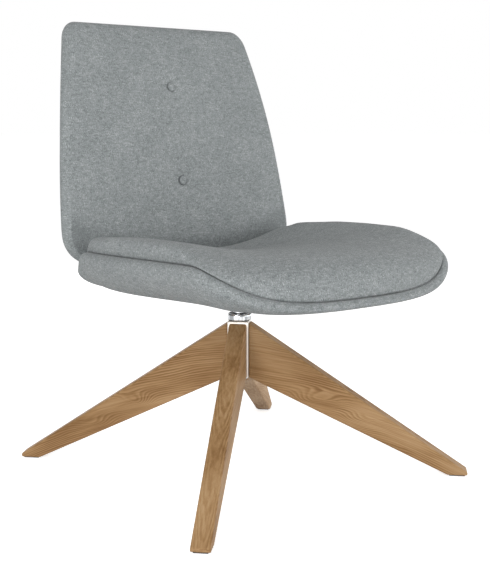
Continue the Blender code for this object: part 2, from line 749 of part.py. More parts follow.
def by_place(side, front, rear, front_blend, rear_blend, y):
    """A size that changes along the seat from its side value to its front and rear values."""
    return side + (front - side) * ease(*front_blend, y) + (rear - side) * ease(*rear_blend, y)


def rim_stations():
    """Outline angles spread by length and by turning, so that the corners get their share."""
    dense = np.linspace(0, pi, OUTLINE_SAMPLES)
    x, y = rim_outline(dense)
    step_x = np.diff(x)
    step_y = np.diff(y)
    length = np.hypot(step_x, step_y)
    heading = np.unwrap(np.arctan2(step_y, step_x))
    turning = np.abs(np.diff(heading, prepend=heading[0]))
    share = length / length.sum() + turning / turning.sum()
    measure = np.concatenate([[0], np.cumsum(share)])
    half_count = SEAT_SEGMENTS // 2
    right = np.interp(np.linspace(0, measure[-1], half_count + 1), measure, dense)
    return np.concatenate([right, 2 * pi - right[-2:0:-1]])


def tray_point(angle, ring):
    """Ring 0 is the rim, then come the lip, the belly, the opening's two edges and the bowl."""
    rim_y = rim_outline(angle)[1]
    rim = rim_height(rim_y)
    lip = by_place(LIP_SIDE, LIP_FRONT, LIP_REAR, LIP_FRONT_BLEND, LIP_REAR_BLEND, rim_y)
    equator = rim - LIP_DROP * lip
    if ring <= LIP_RINGS:
        turn = pi / 2 * ring / LIP_RINGS
        x, y = rim_outline(angle, lip * sin(turn))
        return x, y, rim - LIP_DROP * lip * (1 - cos(turn))
    if ring <= LIP_RINGS + BELLY_RINGS:
        turn = pi / 2 * (ring - LIP_RINGS) / BELLY_RINGS
        blends = (BELLY_FRONT_BLEND, BELLY_REAR_BLEND, rim_y)
        inset = by_place(UNDERSIDE_INSET_SIDE, UNDERSIDE_INSET_FRONT, UNDERSIDE_INSET_REAR, *blends)
        fullness = by_place(BELLY_FULLNESS_SIDE, BELLY_FULLNESS_FRONT, BELLY_FULLNESS_REAR, *blends)
        inward = (inset + lip) * (1 - max(cos(turn), 0) ** (2 / fullness))
        x, y = rim_outline(angle, lip - inward)
        return x, y, equator + (SEAT_UNDERSIDE - equator) * sin(turn) ** (2 / fullness)
    if ring < TRAY_RINGS - BOWL_RINGS:
        height = SEAT_UNDERSIDE if ring == LIP_RINGS + BELLY_RINGS + 1 else FLOOR_HEIGHT
        return TRAY_OPENING_RADIUS * sin(angle), -TRAY_OPENING_RADIUS * cos(angle), height
    turn = pi / 2 * (TRAY_RINGS - ring) / BOWL_RINGS
    x, y = rim_outline(angle, -TRAY_WALL_INSET * (1 - cos(turn)))
    return x, y, rim + (FLOOR_HEIGHT - rim) * sin(turn)


def make_tray():
    angles = rim_stations()
    bpy.ops.mesh.primitive_torus_add(major_segments=SEAT_SEGMENTS, minor_segments=TRAY_RINGS)
    torus = bpy.context.active_object
    mesh = torus.data.copy()
    bpy.data.objects.remove(torus, do_unlink=True)
    for vertex in mesh.vertices:
        x, y, z = vertex.co
        station = round(np.arctan2(x, -y) / (2 * pi) * SEAT_SEGMENTS) % SEAT_SEGMENTS
        ring = round(np.arctan2(-z, hypot(x, y) - 1) / (2 * pi) * TRAY_RINGS) % TRAY_RINGS
        vertex.co = tray_point(angles[station], ring)
    add_part("seat_tray", mesh, SEAT, FABRIC, smooth_angle=75)


def cushion_height(x, y):
    """Height of the seat's surface away from the rolled edge."""
    middle = CUSHION_REAR_HEIGHT + (CUSHION_FRONT_HEIGHT - CUSHION_REAR_HEIGHT) * ease(*CUSHION_RISE, y)
    wing = WING_HEIGHT - WING_REAR_DROP * ease(*WING_REAR_SLOPE, y)
    wing -= WING_FRONT_DROP * ease(*WING_FRONT_SLOPE, y)
    nose = CUSHION_NOSE_DROP * ease(*CUSHION_NOSE, y)
    return middle + (wing - middle) * (abs(x) / SEAT_HALF) ** DISH_CURVE - nose


def cushion_point(angle, share):
    """Share 0 is the middle of the top, RIM_SHARE the rim and 1 the middle of the underside."""
    if share <= RIM_SHARE:
        spread = sin(pi / 2 * share / RIM_SHARE)
        edge_x, edge_y = rim_outline(angle, -SOFT_GAP)
        rim = rim_height(rim_outline(angle)[1])
        rolls = (EDGE_ROLL_SIDE, EDGE_ROLL_FRONT, EDGE_ROLL_REAR)
        roll = by_place(*rolls, EDGE_FRONT_BLEND, EDGE_REAR_BLEND, edge_y)
        lift = (1 - spread**roll) ** (1 / EDGE_FULLNESS) if spread < 1 else 0.0
        bulge = EDGE_SWELL * 4 * lift * (1 - lift) * ease(*SWELL_START, spread)
        swell = 1 + bulge * (1 - ease(*EDGE_REAR_BLEND, edge_y))
        x = edge_x * spread * swell
        y = ARC_CENTRE + (edge_y - ARC_CENTRE) * spread * swell
        return x, y, rim + (cushion_height(x, y) - rim) * lift
    below = (share - RIM_SHARE) / (1 - RIM_SHARE) * 2
    if below <= 1:
        inset = TRAY_WALL_INSET * (1 - cos(pi / 2 * below))
        x, y = rim_outline(angle, -SOFT_GAP - inset)
        rim = rim_height(rim_outline(angle)[1])
        return x, y, rim + (CUSHION_FLOOR - rim) * sin(pi / 2 * below)
    x, y = rim_outline(angle, -SOFT_GAP - TRAY_WALL_INSET)
    spread = 2 - below
    return x * spread, ARC_CENTRE + (y - ARC_CENTRE) * spread, CUSHION_FLOOR


def back_space():
    """The room that the back takes behind the cushion, bounded by its swelling face."""
    columns = np.linspace(-1, 1, BACK_COLUMNS + 1)
    rows = np.linspace(-1, 1, SPACE_ROWS + 1)
    shape = lattice_mesh(columns, (-1, 1), rows)
    for vertex in shape.verts:
        across, deep, up = vertex.co
        x = across * SEAT_WIDTH
        height = SEAT_UNDERSIDE + (WING_HEIGHT + BACK_THICKNESS - SEAT_UNDERSIDE) * (1 + up) / 2
        front = swelling_face(x, height) - SOFT_GAP
        vertex.co = (x, front if deep < 0 else front + SEAT_REAR, height)
    return shape_mesh("back_space", shape)


def make_cushion():
    angles = rim_stations()
    shape = bmesh.new()
    bmesh.ops.create_uvsphere(shape, u_segments=SEAT_SEGMENTS, v_segments=CUSHION_RINGS, radius=1)
    for vertex in shape.verts:
        x, y, z = vertex.co
        station = round(np.arctan2(x, -y) / (2 * pi) * SEAT_SEGMENTS) % SEAT_SEGMENTS
        ring = round(np.arccos(np.clip(z, -1, 1)) / pi * CUSHION_RINGS)
        vertex.co = cushion_point(angles[station], ring / CUSHION_RINGS)
    cushion = add_part("seat_pad", shape_mesh("seat_pad", shape), SEAT, FABRIC, smooth_angle=75)
    cut(cushion, back_space())
    outline = bracket_outline()
    toe = outline[0][0] - SOFT_GAP
    heel = outline[1][0] + SOFT_GAP
    top = outline[5][1] + GAP + SCREW_HEAD_HEIGHT + SOFT_GAP
    half = BRACKET_WIDTH / 2 + SOFT_GAP
    for x in screw_columns():
        cut(cushion, box_mesh((x - half, toe, SEAT_UNDERSIDE), (x + half, heel, top)))


# Back cushion and buttons

def face_line(height):
    """Depth of the back's straight front line."""
    return BACK_FACE_DEPTH + BACK_LEAN * (height - BACK_FACE_HEIGHT)


def face_depth(height):
    return face_line(height) + BACK_CURL * max(height - BACK_CURL_START, 0) ** 2


def face_lean(height):
    return atan(BACK_LEAN + 2 * BACK_CURL * max(height - BACK_CURL_START, 0))


def back_half_width(height):
    share = max(height - BACK_TAPER_START, 0) / (BACK_TOP - BACK_TAPER_START)
    bend = (1 - BACK_TAPER_BEND) * share + BACK_TAPER_BEND * share**2
    return (BACK_LOW_WIDTH + (BACK_TOP_WIDTH - BACK_LOW_WIDTH) * bend) / 2


def tuft(x, height):
    """How far the buttons draw the face in."""
    pull = 0.0
    for button in BUTTON_HEIGHTS.values():
        away = hypot(x, height - button) / TUFT_RADIUS
        pull += TUFT_DEPTH * np.exp(-away * away)
    return pull


def crown(across, up):
    """How far the face swells, from its place across and up, each 0 to 1 from the middle to the edge."""
    return BACK_CROWN * (1 - across**2) * (1 - up**4)


def swelling_face(x, height):
    """Depth of the back's face without the buttons' tufts."""
    across = min(abs(x) / (back_half_width(height) - BACK_THICKNESS / 2), 1)
    up = min(abs(height - BACK_MIDDLE) / BACK_REACH, 1)
    return face_depth(height) - crown(across, up)


def round_corner(x, z, half_x, half_z, radius):
    """Draws a point of a rectangle in to the rectangle with round corners."""
    core_x = min(max(x, radius - half_x), half_x - radius)
    core_z = min(max(z, radius - half_z), half_z - radius)
    away_x = x - core_x
    away_z = z - core_z
    away = hypot(away_x, away_z)
    if away < 1e-9:
        return x, z
    scale = max(abs(away_x), abs(away_z)) / away
    return core_x + away_x * scale, core_z + away_z * scale


def back_point(across, up, deep):
    """A point of the back from its place across and up, each -1 to 1, and deep, 0 front to 1 rear."""
    edge = BACK_THICKNESS / 2
    inset = edge * (1 - sin(pi * deep))
    half_x = BACK_LOW_WIDTH / 2 - inset
    half_z = BACK_REACH + edge - inset
    corner = (BACK_TOP_CORNER if up > 0 else BACK_LOW_CORNER) - inset
    x, z = round_corner(across * half_x, up * half_z, half_x, half_z, corner)
    height = BACK_MIDDLE + z
    x *= (back_half_width(height) - inset) / half_x
    depth = face_depth(height) + BACK_THICKNESS * (1 - cos(pi * deep)) / 2
    if deep == 0:
        depth += tuft(x, height) - crown(abs(across), abs(up))
    return x, depth, height


def lattice_mesh(columns, rows, layers):
    """A cube from -1 to 1 cut by planes at the given places."""
    shape = bmesh.new()
    bmesh.ops.create_cube(shape, size=2.0)
    for axis, places in enumerate((columns, rows, layers)):
        normal = Vector((axis == 0, axis == 1, axis == 2))
        for place in places[1:-1]:
            everything = shape.verts[:] + shape.edges[:] + shape.faces[:]
            bmesh.ops.bisect_plane(shape, geom=everything, plane_co=normal * place, plane_no=normal)
    return shape


def gathered(count, gather):
    """Places from -1 to 1, the closer to the ends the larger gather is."""
    even = np.linspace(-1, 1, count + 1)
    return even + (np.sin(even * pi / 2) - even) * gather


def make_back():
    columns = gathered(BACK_COLUMNS, COLUMN_GATHER)
    rows = gathered(BACK_ROWS, ROW_GATHER)
    layers = np.linspace(-1, 1, BACK_EDGE_ROWS + 1)
    for button in BUTTON_HEIGHTS.values():
        wanted = (button - BACK_MIDDLE) / BACK_REACH
        rows[np.argmin(np.abs(rows - wanted))] = wanted
    shape = lattice_mesh(columns, layers, rows)
    for vertex in shape.verts:
        across, layer, up = vertex.co
        vertex.co = back_point(across, up, (layer + 1) / 2)
    back = add_part("back_pad", shape_mesh("back_pad", shape), SEAT, FABRIC, smooth_angle=75)
    frame = board_frame()
    half = BACK_BOARD_WIDTH / 2 + GAP
    slot_top = BACK_BOARD_HEIGHT + GAP
    slot_low = (-half, -BACK_THICKNESS, -BOARD_THICKNESS - GAP)
    cut(back, box_mesh(slot_low, (half, slot_top, GAP)), frame)
    half = BRACKET_WIDTH / 2 + SOFT_GAP
    pocket_deep = GAP + BRACKET_THICKNESS + GAP + SCREW_HEAD_HEIGHT + SOFT_GAP
    pocket_top = BRACKET_RISE - BACK_BOTTOM + BOARD_TOP + SOFT_GAP
    for x in screw_columns():
        cut(back, box_mesh((x - half, -BACK_THICKNESS, -GAP), (x + half, pocket_top, pocket_deep)), frame)
    for height in BUTTON_HEIGHTS.values():
        hole = rod_mesh(STEM_DIAMETER + 2 * GAP, -stem_length(height), BACK_THICKNESS)
        cut(back, hole, button_frame(height))


def button_frame(height):
    """Frame of a button: its seat on the drawn-in face, Z forward out of the face."""
    lean = face_lean(height)
    depth = swelling_face(0, height) + TUFT_DEPTH - BUTTON_SEAT
    return Matrix.Translation((0, depth, height)) @ Matrix.Rotation(pi / 2 - lean, 4, "X")


def stem_length(height):
    """From a button's seat to its grip in the back board."""
    seat = board_frame().inverted() @ button_frame(height).translation
    return seat.z + STEM_GRIP


def make_buttons():
    radius = BUTTON_DIAMETER / 2
    stem = STEM_DIAMETER / 2
    for name, height in BUTTON_HEIGHTS.items():
        profile = []
        for step in range(DOME_STEPS + 1):
            angle = pi / 2 * step / DOME_STEPS
            profile.append((radius * sin(angle), BUTTON_SKIRT + (BUTTON_DOME - BUTTON_SKIRT) * cos(angle)))
        end = -stem_length(height)
        profile += [(BUTTON_BASE_DIAMETER / 2, 0), (stem, 0), (stem, end), (0, end)]
        add_part(name, turned_mesh(profile, SMALL_STEPS), SEAT, FABRIC, button_frame(height))


make_legs()
make_glides()
make_leg_bolts()
make_hub()
make_bearings()
make_collar()
make_spindle()
make_retainer()
make_plate()
make_plate_bolts()
make_seat_board()
make_back_board()
make_brackets()
make_tray()
make_cushion()
make_back()
make_buttons()
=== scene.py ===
"""The lounge chair, dressed: grey woven upholstery, oiled oak legs and a chromed swivel."""

import json
from math import cos, pi, radians, sin

import bmesh
import bpy
import numpy as np
from mathutils import Euler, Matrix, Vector


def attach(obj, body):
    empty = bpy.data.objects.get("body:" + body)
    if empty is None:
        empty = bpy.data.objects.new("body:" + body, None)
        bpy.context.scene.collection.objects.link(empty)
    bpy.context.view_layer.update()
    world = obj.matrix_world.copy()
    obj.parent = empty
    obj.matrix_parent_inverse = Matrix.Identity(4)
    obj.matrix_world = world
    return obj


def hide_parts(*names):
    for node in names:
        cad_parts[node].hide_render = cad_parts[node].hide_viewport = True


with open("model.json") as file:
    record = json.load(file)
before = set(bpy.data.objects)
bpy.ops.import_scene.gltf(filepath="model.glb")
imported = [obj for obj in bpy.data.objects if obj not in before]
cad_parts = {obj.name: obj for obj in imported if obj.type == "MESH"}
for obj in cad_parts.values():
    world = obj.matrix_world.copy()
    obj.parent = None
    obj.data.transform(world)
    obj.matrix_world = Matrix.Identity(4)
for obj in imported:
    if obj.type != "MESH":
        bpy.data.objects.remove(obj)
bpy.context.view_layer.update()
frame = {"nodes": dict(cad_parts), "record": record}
nodes = frame["nodes"]

# Measures are in metres. The chair's forms stand about the swivel's axis, with the front at -Y
SWIVEL_Y = 0.016913

# Legs. Each eye of the grain: reach from the swivel, height, length, width and lift of the rings
LEG_ANGLES = {
    "leg_front_right": 225,
    "leg_front_left": 315,
    "leg_rear_right": 135,
    "leg_rear_left": 45,
}
LEG_EYES = {
    "leg_front_right": [(0.300, 0.060, 0.030, 0.022, 0.009)],
    "leg_front_left": [(0.138, 0.130, 0.042, 0.016, 0.024), (0.225, 0.098, 0.040, 0.014, 0.014)],
    "leg_rear_right": [(0.187, 0.115, 0.028, 0.016, 0.024), (0.262, 0.072, 0.040, 0.014, 0.012)],
    "leg_rear_left": [(0.170, 0.125, 0.040, 0.018, 0.016)],
}
GRAIN_SLOPE = 0.087
GRAIN_BEND = 0.474
RING_PITCH = 0.0040
PLY_PAIR = 0.0028

# Plan of the seat
SEAT_HALF = 0.247
SEAT_FRONT = 0.3235
SEAT_REAR = 0.192
FRONT_ARC_DEPTH = 0.103
ARC_CENTRE = FRONT_ARC_DEPTH - SEAT_FRONT
FRONT_SQUARENESS = 2.36
REAR_SQUARENESS = 7.0

# Rim of the seat, where its seam runs
RIM_SIDE_HEIGHT = 0.4030
RIM_SIDE_SLOPE = 0.034
RIM_FRONT_HEIGHT = 0.352
RIM_REAR_HEIGHT = 0.371
RIM_REAR_BLEND = (0.118, 0.150)
RIM_FALL_START = 0.195
RIM_FALL_END = 0.329
RIM_FALL_CURVE = 1.52
RIM_STEPS = 56
RIM_SAMPLES = 1500
TURNING_WEIGHT = 0.6

# Sizes at the side, front and rear of the seat, and the blends from its side to its front and rear
LIP = (0.0166, 0.0112, 0.012, (-0.19, -0.3235), (0.0, 0.15))
UNDERSIDE_INSET = (0.0985, 0.0449, 0.042, (-0.273, -0.328), (-0.18, 0.10))
BELLY_FULLNESS = (1.81, 1.96, 2.0, (-0.273, -0.328), (-0.18, 0.10))
EDGE_ROLL = (11.0, 5.0, 20.0, (-0.25, -0.33), (0.05, 0.14))
# How dark the painted shade along the seat's seam is, at the side, front and rear, and its blends
SEAM_SHADE_DEPTH = (0.62, 0.30, 0.62, (-0.20, -0.30), (0.0, 0.1))

# Tray
LIP_DROP = 0.8
SEAT_UNDERSIDE = 0.334
TRAY_FLOOR = 0.344
TRAY_WALL = 0.046
TRAY_OPENING = 0.095
SHELF_SHARE = 0.93
SHELF_BLEND = (0.11, 0.15)
LIP_RINGS = 8
BELLY_RINGS = 12
UNDERSIDE_RINGS = 3
BOWL_RINGS = 7

# Seat pad. Each fall of its raised sides is a depth and the stretch over which it comes
PAD_FLOOR = 0.3546
PAD_WALL_SHARE = 0.4
CUSHION_REAR_HEIGHT = 0.385
CUSHION_RISE = 0.033
CUSHION_RISE_BLEND = (0.12, -0.22)
CUSHION_FRONT_DROP = 0.006
CUSHION_FRONT_START = -0.22
WING_HEIGHT = 0.454
WING_FALLS = [(0.008, (-0.02, 0.11)), (0.0035, (-0.06, -0.16)), (0.0485, (-0.15, -0.30))]
DISH_CURVE = 2.7
EDGE_FULLNESS = 0.5
EDGE_SWELL = 0.030
SWELL_BLEND = (0.5, 0.7)
SWELL_REAR_BLEND = (0.05, 0.14)
SOFT_GAP = 0.001
GROOVE_DEPTH = 0.012
GROOVE_WIDTH = 0.022
HELD_NEAR_BACK = 0.003

# Back
BACK_LEAN = 0.172
BACK_TOP = 0.802
BACK_BOTTOM = 0.3690
BACK_MIDDLE = (BACK_TOP + BACK_BOTTOM) / 2
BACK_REACH = (BACK_TOP - BACK_BOTTOM) / 2
BACK_EDGE = 0.0165
BACK_FOOT = 0.375
BACK_DEPTH = 0.180
BACK_DEPTH_HEIGHT = 0.5125
BACK_SWEEP = 0.33
BACK_SWEEP_START = 0.550
BACK_WIDTH = 0.508
BACK_TAPER = 0.113
BACK_TAPER_START = 0.430
BACK_TAPER_EVEN = 0.41
BACK_TAPER_CURVED = 0.59
BACK_CROWN = 0.006
BACK_TOP_CORNER = 0.029
BACK_BOTTOM_CORNER = 0.052
BACK_COLUMNS = 44
BACK_ROWS = 52
BACK_RINGS = 14
BACK_SEAM = 0.685
FACE_TURN = 0.6
# How dark the painted shade along the back's seam is
BACK_SEAM_SHADE_DEPTH = 0.55
BUTTON_HEIGHTS = (0.5124, 0.6870)
BUTTON_RADIUS = 0.008
BUTTON_HOLD = 0.010
TUFT_DEPTH = 0.004
TUFT_SPREAD = 0.030

# Cover
YARN = 0.0017
TUCK = 0.0012
PLUMP = 0.0003
RELIEF = 0.0006
PRESSURE = 4.0
CLOTH_FRAMES = 20
SMOOTHING_ROUNDS = 8
SEAM_HOLD = 0.002
# Width of the painted shade along the seat's seam and along the back's seam
SEAT_SEAM_SHADE_WIDTH = 0.0036
BACK_SEAM_SHADE_WIDTH = 0.0024
# Painted shade in the crease between seat and back: its reach and its darkest share
PAINTED_FOLD_WIDTH = 0.030
PAINTED_FOLD_SHADE = 0.72
# Painted shadow round each button: width of the dark ring, and its darkness at the lower and upper button
BUTTON_SHADOW_WIDTH = 0.0034
BUTTON_SHADOW_SHADES = (0.60, 0.30)

# Studio
FLOOR_HALF = 60.0
FLOOR_LEVEL = -0.0004
FLOOR_GREY = 0.82
FLOOR_GLOW = 0.66

# Camera
CAMERA_PLACE = (-1.1031, -1.4642 + SWIVEL_Y, 0.6137)
CAMERA_AZIMUTH = -37.318
CAMERA_PITCH = 8.9146
FOCAL_PIXELS = 1037.8
IMAGE_HEIGHT = 578
SENSOR = 36.0


# Node helpers

class Shader:
    """A material built node by node around one Principled shader."""

    def __init__(self, name, **sockets):
        self.material = bpy.data.materials.new(name)
        self.material.use_nodes = True
        self.tree = self.material.node_tree
        self.tree.nodes.clear()
        self.surface = self.add("ShaderNodeBsdfPrincipled", sockets)
        output = self.add("ShaderNodeOutputMaterial")
        self.tree.links.new(self.surface.outputs[0], output.inputs["Surface"])

    def add(self, kind, inputs=None, **settings):
        node = self.tree.nodes.new(kind)
        for key, value in settings.items():
            setattr(node, key, value)
        for key, value in (inputs or {}).items():
            self.join(value, node.inputs[key])
        return node

    def join(self, value, socket):
        if isinstance(value, bpy.types.NodeSocket):
            self.tree.links.new(value, socket)
        else:
            socket.default_value = value

    def feed(self, socket, value):
        self.join(value, self.surface.inputs[socket])

    def math(self, operation, *values):
        inputs = dict(enumerate(values))
        return self.add("ShaderNodeMath", inputs, operation=operation).outputs[0]

    def total(self, *values):
        result = values[0]
        for value in values[1:]:
            result = self.math("ADD", result, value)
        return result

    def times(self, a, b):
        return self.math("MULTIPLY", a, b)

    def object_place(self):
        return self.add("ShaderNodeTexCoord").outputs["Object"]

    def object_normal(self):
        return self.add("ShaderNodeTexCoord").outputs["Normal"]

    def parts(self, vector):
        return self.add("ShaderNodeSeparateXYZ", {0: vector}).outputs

    def vector(self, x, y, z):
        return self.add("ShaderNodeCombineXYZ", {0: x, 1: y, 2: z}).outputs[0]

    def dot(self, vector, direction):
        node = self.add("ShaderNodeVectorMath", {0: vector, 1: direction}, operation="DOT_PRODUCT")
        return node.outputs["Value"]

    def noise(self, vector, scale, detail=2.0, roughness=0.5):
        inputs = {"Vector": vector, "Scale": scale, "Detail": detail, "Roughness": roughness}
        return self.add("ShaderNodeTexNoise", inputs).outputs["Fac"]

    def span(self, value, low, high, to_low=0.0, to_high=1.0, smooth=False):
        inputs = {0: value, 1: low, 2: high, 3: to_low, 4: to_high}
        kind = "SMOOTHSTEP" if smooth else "LINEAR"
        return self.add("ShaderNodeMapRange", inputs, interpolation_type=kind, clamp=True).outputs[0]

    def ramp(self, value, stops):
        node = self.add("ShaderNodeValToRGB", {0: value})
        elements = node.color_ramp.elements
        while len(elements) < len(stops):
            elements.new(1.0)
        for element, (place, colour) in zip(elements, stops):
            element.position = place
            element.color = (*colour, 1.0)
        return node.outputs["Color"]

    def mix(self, share, a, b):
        node = self.add("ShaderNodeMix", data_type="RGBA")
        self.join(share, node.inputs[0])
        self.join(a, node.inputs[6])
        self.join(b, node.inputs[7])
        return node.outputs[2]

    def bump(self, height, strength, distance):
        inputs = {"Height": height, "Strength": strength, "Distance": distance}
        self.feed("Normal", self.add("ShaderNodeBump", inputs).outputs[0])


# Materials

def woven_fabric(name, seam=None, buttons=()):
    """Grey melange plain weave. It runs level on the faces that stand and straight ahead on those that lie.

    Painted shade darkens the cloth along a seam within the given distance, by the depth that the mesh holds.
    Painted shade also darkens the crease between seat and back, and a painted shadow rings each button,
    given by its height and darkness.
    """
    shader = Shader(name, **{"Sheen Weight": 0.12, "Sheen Roughness": 0.45, "Specular IOR Level": 0.18})
    place = shader.object_place()
    drift = shader.noise(place, 60.0, 1.0)
    drift = shader.times(shader.math("SUBTRACT", drift, 0.5), 0.0022)
    x, y, z = shader.parts(place)
    facing = shader.parts(shader.object_normal())
    across, ahead, upright = [shader.math("ABSOLUTE", part) for part in facing]
    lies = shader.math("GREATER_THAN", upright, shader.math("MAXIMUM", across, ahead))
    faces_sideways = shader.math("GREATER_THAN", across, ahead)
    stands_sideways = shader.times(faces_sideways, shader.math("SUBTRACT", 1.0, lies))
    u = shader.math("MULTIPLY_ADD", shader.math("SUBTRACT", y, x), stands_sideways, x)
    v = shader.math("MULTIPLY_ADD", shader.math("SUBTRACT", y, z), lies, z)
    a = shader.times(shader.math("ADD", u, drift), 1 / YARN)
    b = shader.times(shader.math("SUBTRACT", v, drift), 1 / YARN)
    column = shader.math("FLOOR", a)
    row = shader.math("FLOOR", b)
    over = shader.math("FLOORED_MODULO", shader.math("ADD", column, row), 2.0)

    warp = shader.noise(shader.vector(shader.times(column, 5.37), shader.times(b, 0.34), 0.0), 1.0, 2.0, 0.6)
    weft = shader.noise(shader.vector(shader.times(a, 0.15), shader.times(row, 5.37), 9.0), 1.0, 2.0, 0.6)
    yarn = shader.math("MULTIPLY_ADD", shader.math("SUBTRACT", warp, weft), over, weft)
    fleck = shader.noise(place, 420.0, 2.0, 0.7)
    mottle = shader.noise(place, 130.0, 2.0, 0.6)
    cloud = shader.noise(place, 16.0, 2.0, 0.55)
    tone = shader.times(shader.math("SUBTRACT", yarn, 0.5), 1.25)
    tone = shader.total(tone, shader.times(shader.math("SUBTRACT", fleck, 0.5), 0.75), 0.5)
    tone = shader.total(
        tone,
        shader.times(shader.math("SUBTRACT", mottle, 0.5), 0.30),
        shader.times(shader.math("SUBTRACT", cloud, 0.5), 0.16))
    colour = shader.ramp(tone, [
        (0.12, (0.112, 0.126, 0.129)),
        (0.38, (0.199, 0.217, 0.219)),
        (0.58, (0.268, 0.288, 0.290)),
        (0.88, (0.428, 0.448, 0.450)),
    ])

    round_warp = shader.math("ABSOLUTE", shader.math("SINE", shader.times(a, pi)))
    round_weft = shader.math("ABSOLUTE", shader.math("SINE", shader.times(b, pi)))
    raised = shader.math("MULTIPLY_ADD", shader.math("SUBTRACT", round_warp, round_weft), over, round_weft)
    between = shader.times(round_warp, round_weft)
    height = shader.total(shader.times(raised, 0.55), shader.times(between, 0.45), shader.times(fleck, 0.5))
    # Painted shade in the grooves between the yarns
    shade = shader.span(between, 0.0, 0.55, 0.72, 1.0)
    if seam:
        # Painted shade in the crease between seat and back, darker the nearer the cloth lies to it
        crease_shade_reach = shader.add("ShaderNodeAttribute", attribute_name="crease_shade_reach").outputs["Fac"]
        shade = shader.times(shade, shader.span(crease_shade_reach, 0.0, PAINTED_FOLD_WIDTH, PAINTED_FOLD_SHADE, 1.0, smooth=True))
        # Painted shade along the seam: darker the nearer the seam, as deep as the mesh holds
        distance = shader.add("ShaderNodeAttribute", attribute_name="seam").outputs["Fac"]
        depth = shader.add("ShaderNodeAttribute", attribute_name="seam_shade").outputs["Fac"]
        closeness = shader.span(shader.math("ABSOLUTE", distance), 0.0004, seam, 1.0, 0.0, smooth=True)
        shade = shader.times(shade, shader.math("SUBTRACT", 1.0, shader.times(closeness, depth)))
        height = shader.math("SUBTRACT", height, shader.times(closeness, 3.0))
        in_front = shader.math("LESS_THAN", distance, 0.0)
        # Painted shadow in a ring round each button, on the back's front only
        for button, darkest in buttons:
            beside = shader.vector(x, 0.0, shader.math("SUBTRACT", z, button))
            reach = shader.add("ShaderNodeVectorMath", {0: beside}, operation="LENGTH").outputs["Value"]
            button_shadow_edge = BUTTON_RADIUS + BUTTON_SHADOW_WIDTH
            button_shadow = shader.span(reach, BUTTON_RADIUS, button_shadow_edge, darkest, 0.0, smooth=True)
            shade = shader.times(shade, shader.math("SUBTRACT", 1.0, shader.times(button_shadow, in_front)))
    # All painted shade mixes the cloth towards near black
    shader.feed("Base Color", shader.mix(shade, (0.05, 0.057, 0.06, 1.0), colour))
    shader.feed("Roughness", shader.span(fleck, 0.3, 0.7, 0.82, 0.97))
    shader.bump(height, 0.6, 0.0005)
    return shader.material


def oak(name, angle, seed, eyes):
    """Oiled oak, sawn flat. The rings lie level at the hub and bend down the leg, round the eyes."""
    shader = Shader(name, **{"Specular IOR Level": 0.18})
    turn = radians(angle)
    axis = Vector((0, SWIVEL_Y, 0))
    place = {0: shader.object_place(), 1: axis}
    place = shader.add("ShaderNodeVectorMath", place, operation="SUBTRACT").outputs[0]
    reach = shader.dot(place, Vector((cos(turn), sin(turn), 0)))
    side = shader.dot(place, Vector((-sin(turn), cos(turn), 0)))
    height = shader.parts(place)[2]
    bend = shader.times(reach, shader.math("MULTIPLY_ADD", reach, GRAIN_BEND, GRAIN_SLOPE))
    level = shader.math("ADD", height, bend)

    def spread(along, across, detail=2.0):
        upward = shader.math("MULTIPLY_ADD", level, across, seed * 7.3)
        where = shader.vector(shader.times(reach, along), shader.times(side, across), upward)
        return shader.math("SUBTRACT", shader.noise(where, 1.0, detail, 0.55), 0.5)

    wander = spread(5.0, 16.0)
    waver = spread(20.0, 70.0)
    rings = shader.math("ADD", level, shader.times(shader.times(side, side), 14.0))
    for eye_reach, eye_height, length, width, lift in eyes:
        off_reach = shader.times(shader.math("SUBTRACT", reach, eye_reach), 1 / length)
        off_height = shader.times(shader.math("SUBTRACT", height, eye_height), 1 / width)
        away = shader.math("MULTIPLY_ADD", off_reach, off_reach, shader.times(off_height, off_height))
        rings = shader.total(rings, shader.times(shader.math("EXPONENT", shader.times(away, -1.0)), lift))
    arches = shader.math("MULTIPLY_ADD", shader.times(side, side), 42.0, shader.times(reach, 0.10))
    lies = shader.span(shader.math("ABSOLUTE", shader.parts(shader.object_normal())[2]), 0.3, 0.5)
    rings = shader.math("MULTIPLY_ADD", shader.math("SUBTRACT", arches, rings), lies, rings)
    rings = shader.total(rings, shader.times(wander, 0.020), shader.times(waver, 0.0036))
    ring = shader.math("FRACT", shader.times(rings, 1 / RING_PITCH))
    darkening = shader.span(ring, 0.05, 0.70, smooth=True)
    late = shader.times(darkening, shader.span(ring, 0.70, 1.0, 1.0, 0.0, smooth=True))

    pores = spread(45.0, 1300.0)
    streaks = spread(9.0, 260.0)
    patches = spread(7.0, 20.0, 1.0)
    strength = shader.math("MULTIPLY_ADD", spread(8.0, 30.0, 1.0), 1.5, 0.30)
    strength = shader.times(strength, shader.math("MULTIPLY_ADD", lies, -0.30, 1.0))
    strength = shader.times(strength, shader.span(reach, 0.03, 0.13, 0.55, 1.0, smooth=True))
    tone = shader.total(
        0.60,
        shader.times(shader.times(late, strength), -1.0),
        shader.times(streaks, 0.80),
        shader.times(pores, 0.45),
        patches)
    shader.feed("Base Color", shader.ramp(tone, [
        (0.05, (0.176, 0.089, 0.033)),
        (0.35, (0.254, 0.143, 0.060)),
        (0.60, (0.325, 0.196, 0.092)),
        (0.95, (0.410, 0.268, 0.142)),
    ]))
    shader.feed("Roughness", shader.span(tone, 0.1, 0.9, 0.66, 0.50))
    open_pores = shader.span(pores, -0.25, -0.05)
    shader.bump(shader.total(open_pores, shader.times(late, 0.4)), 0.25, 0.0003)
    return shader.material


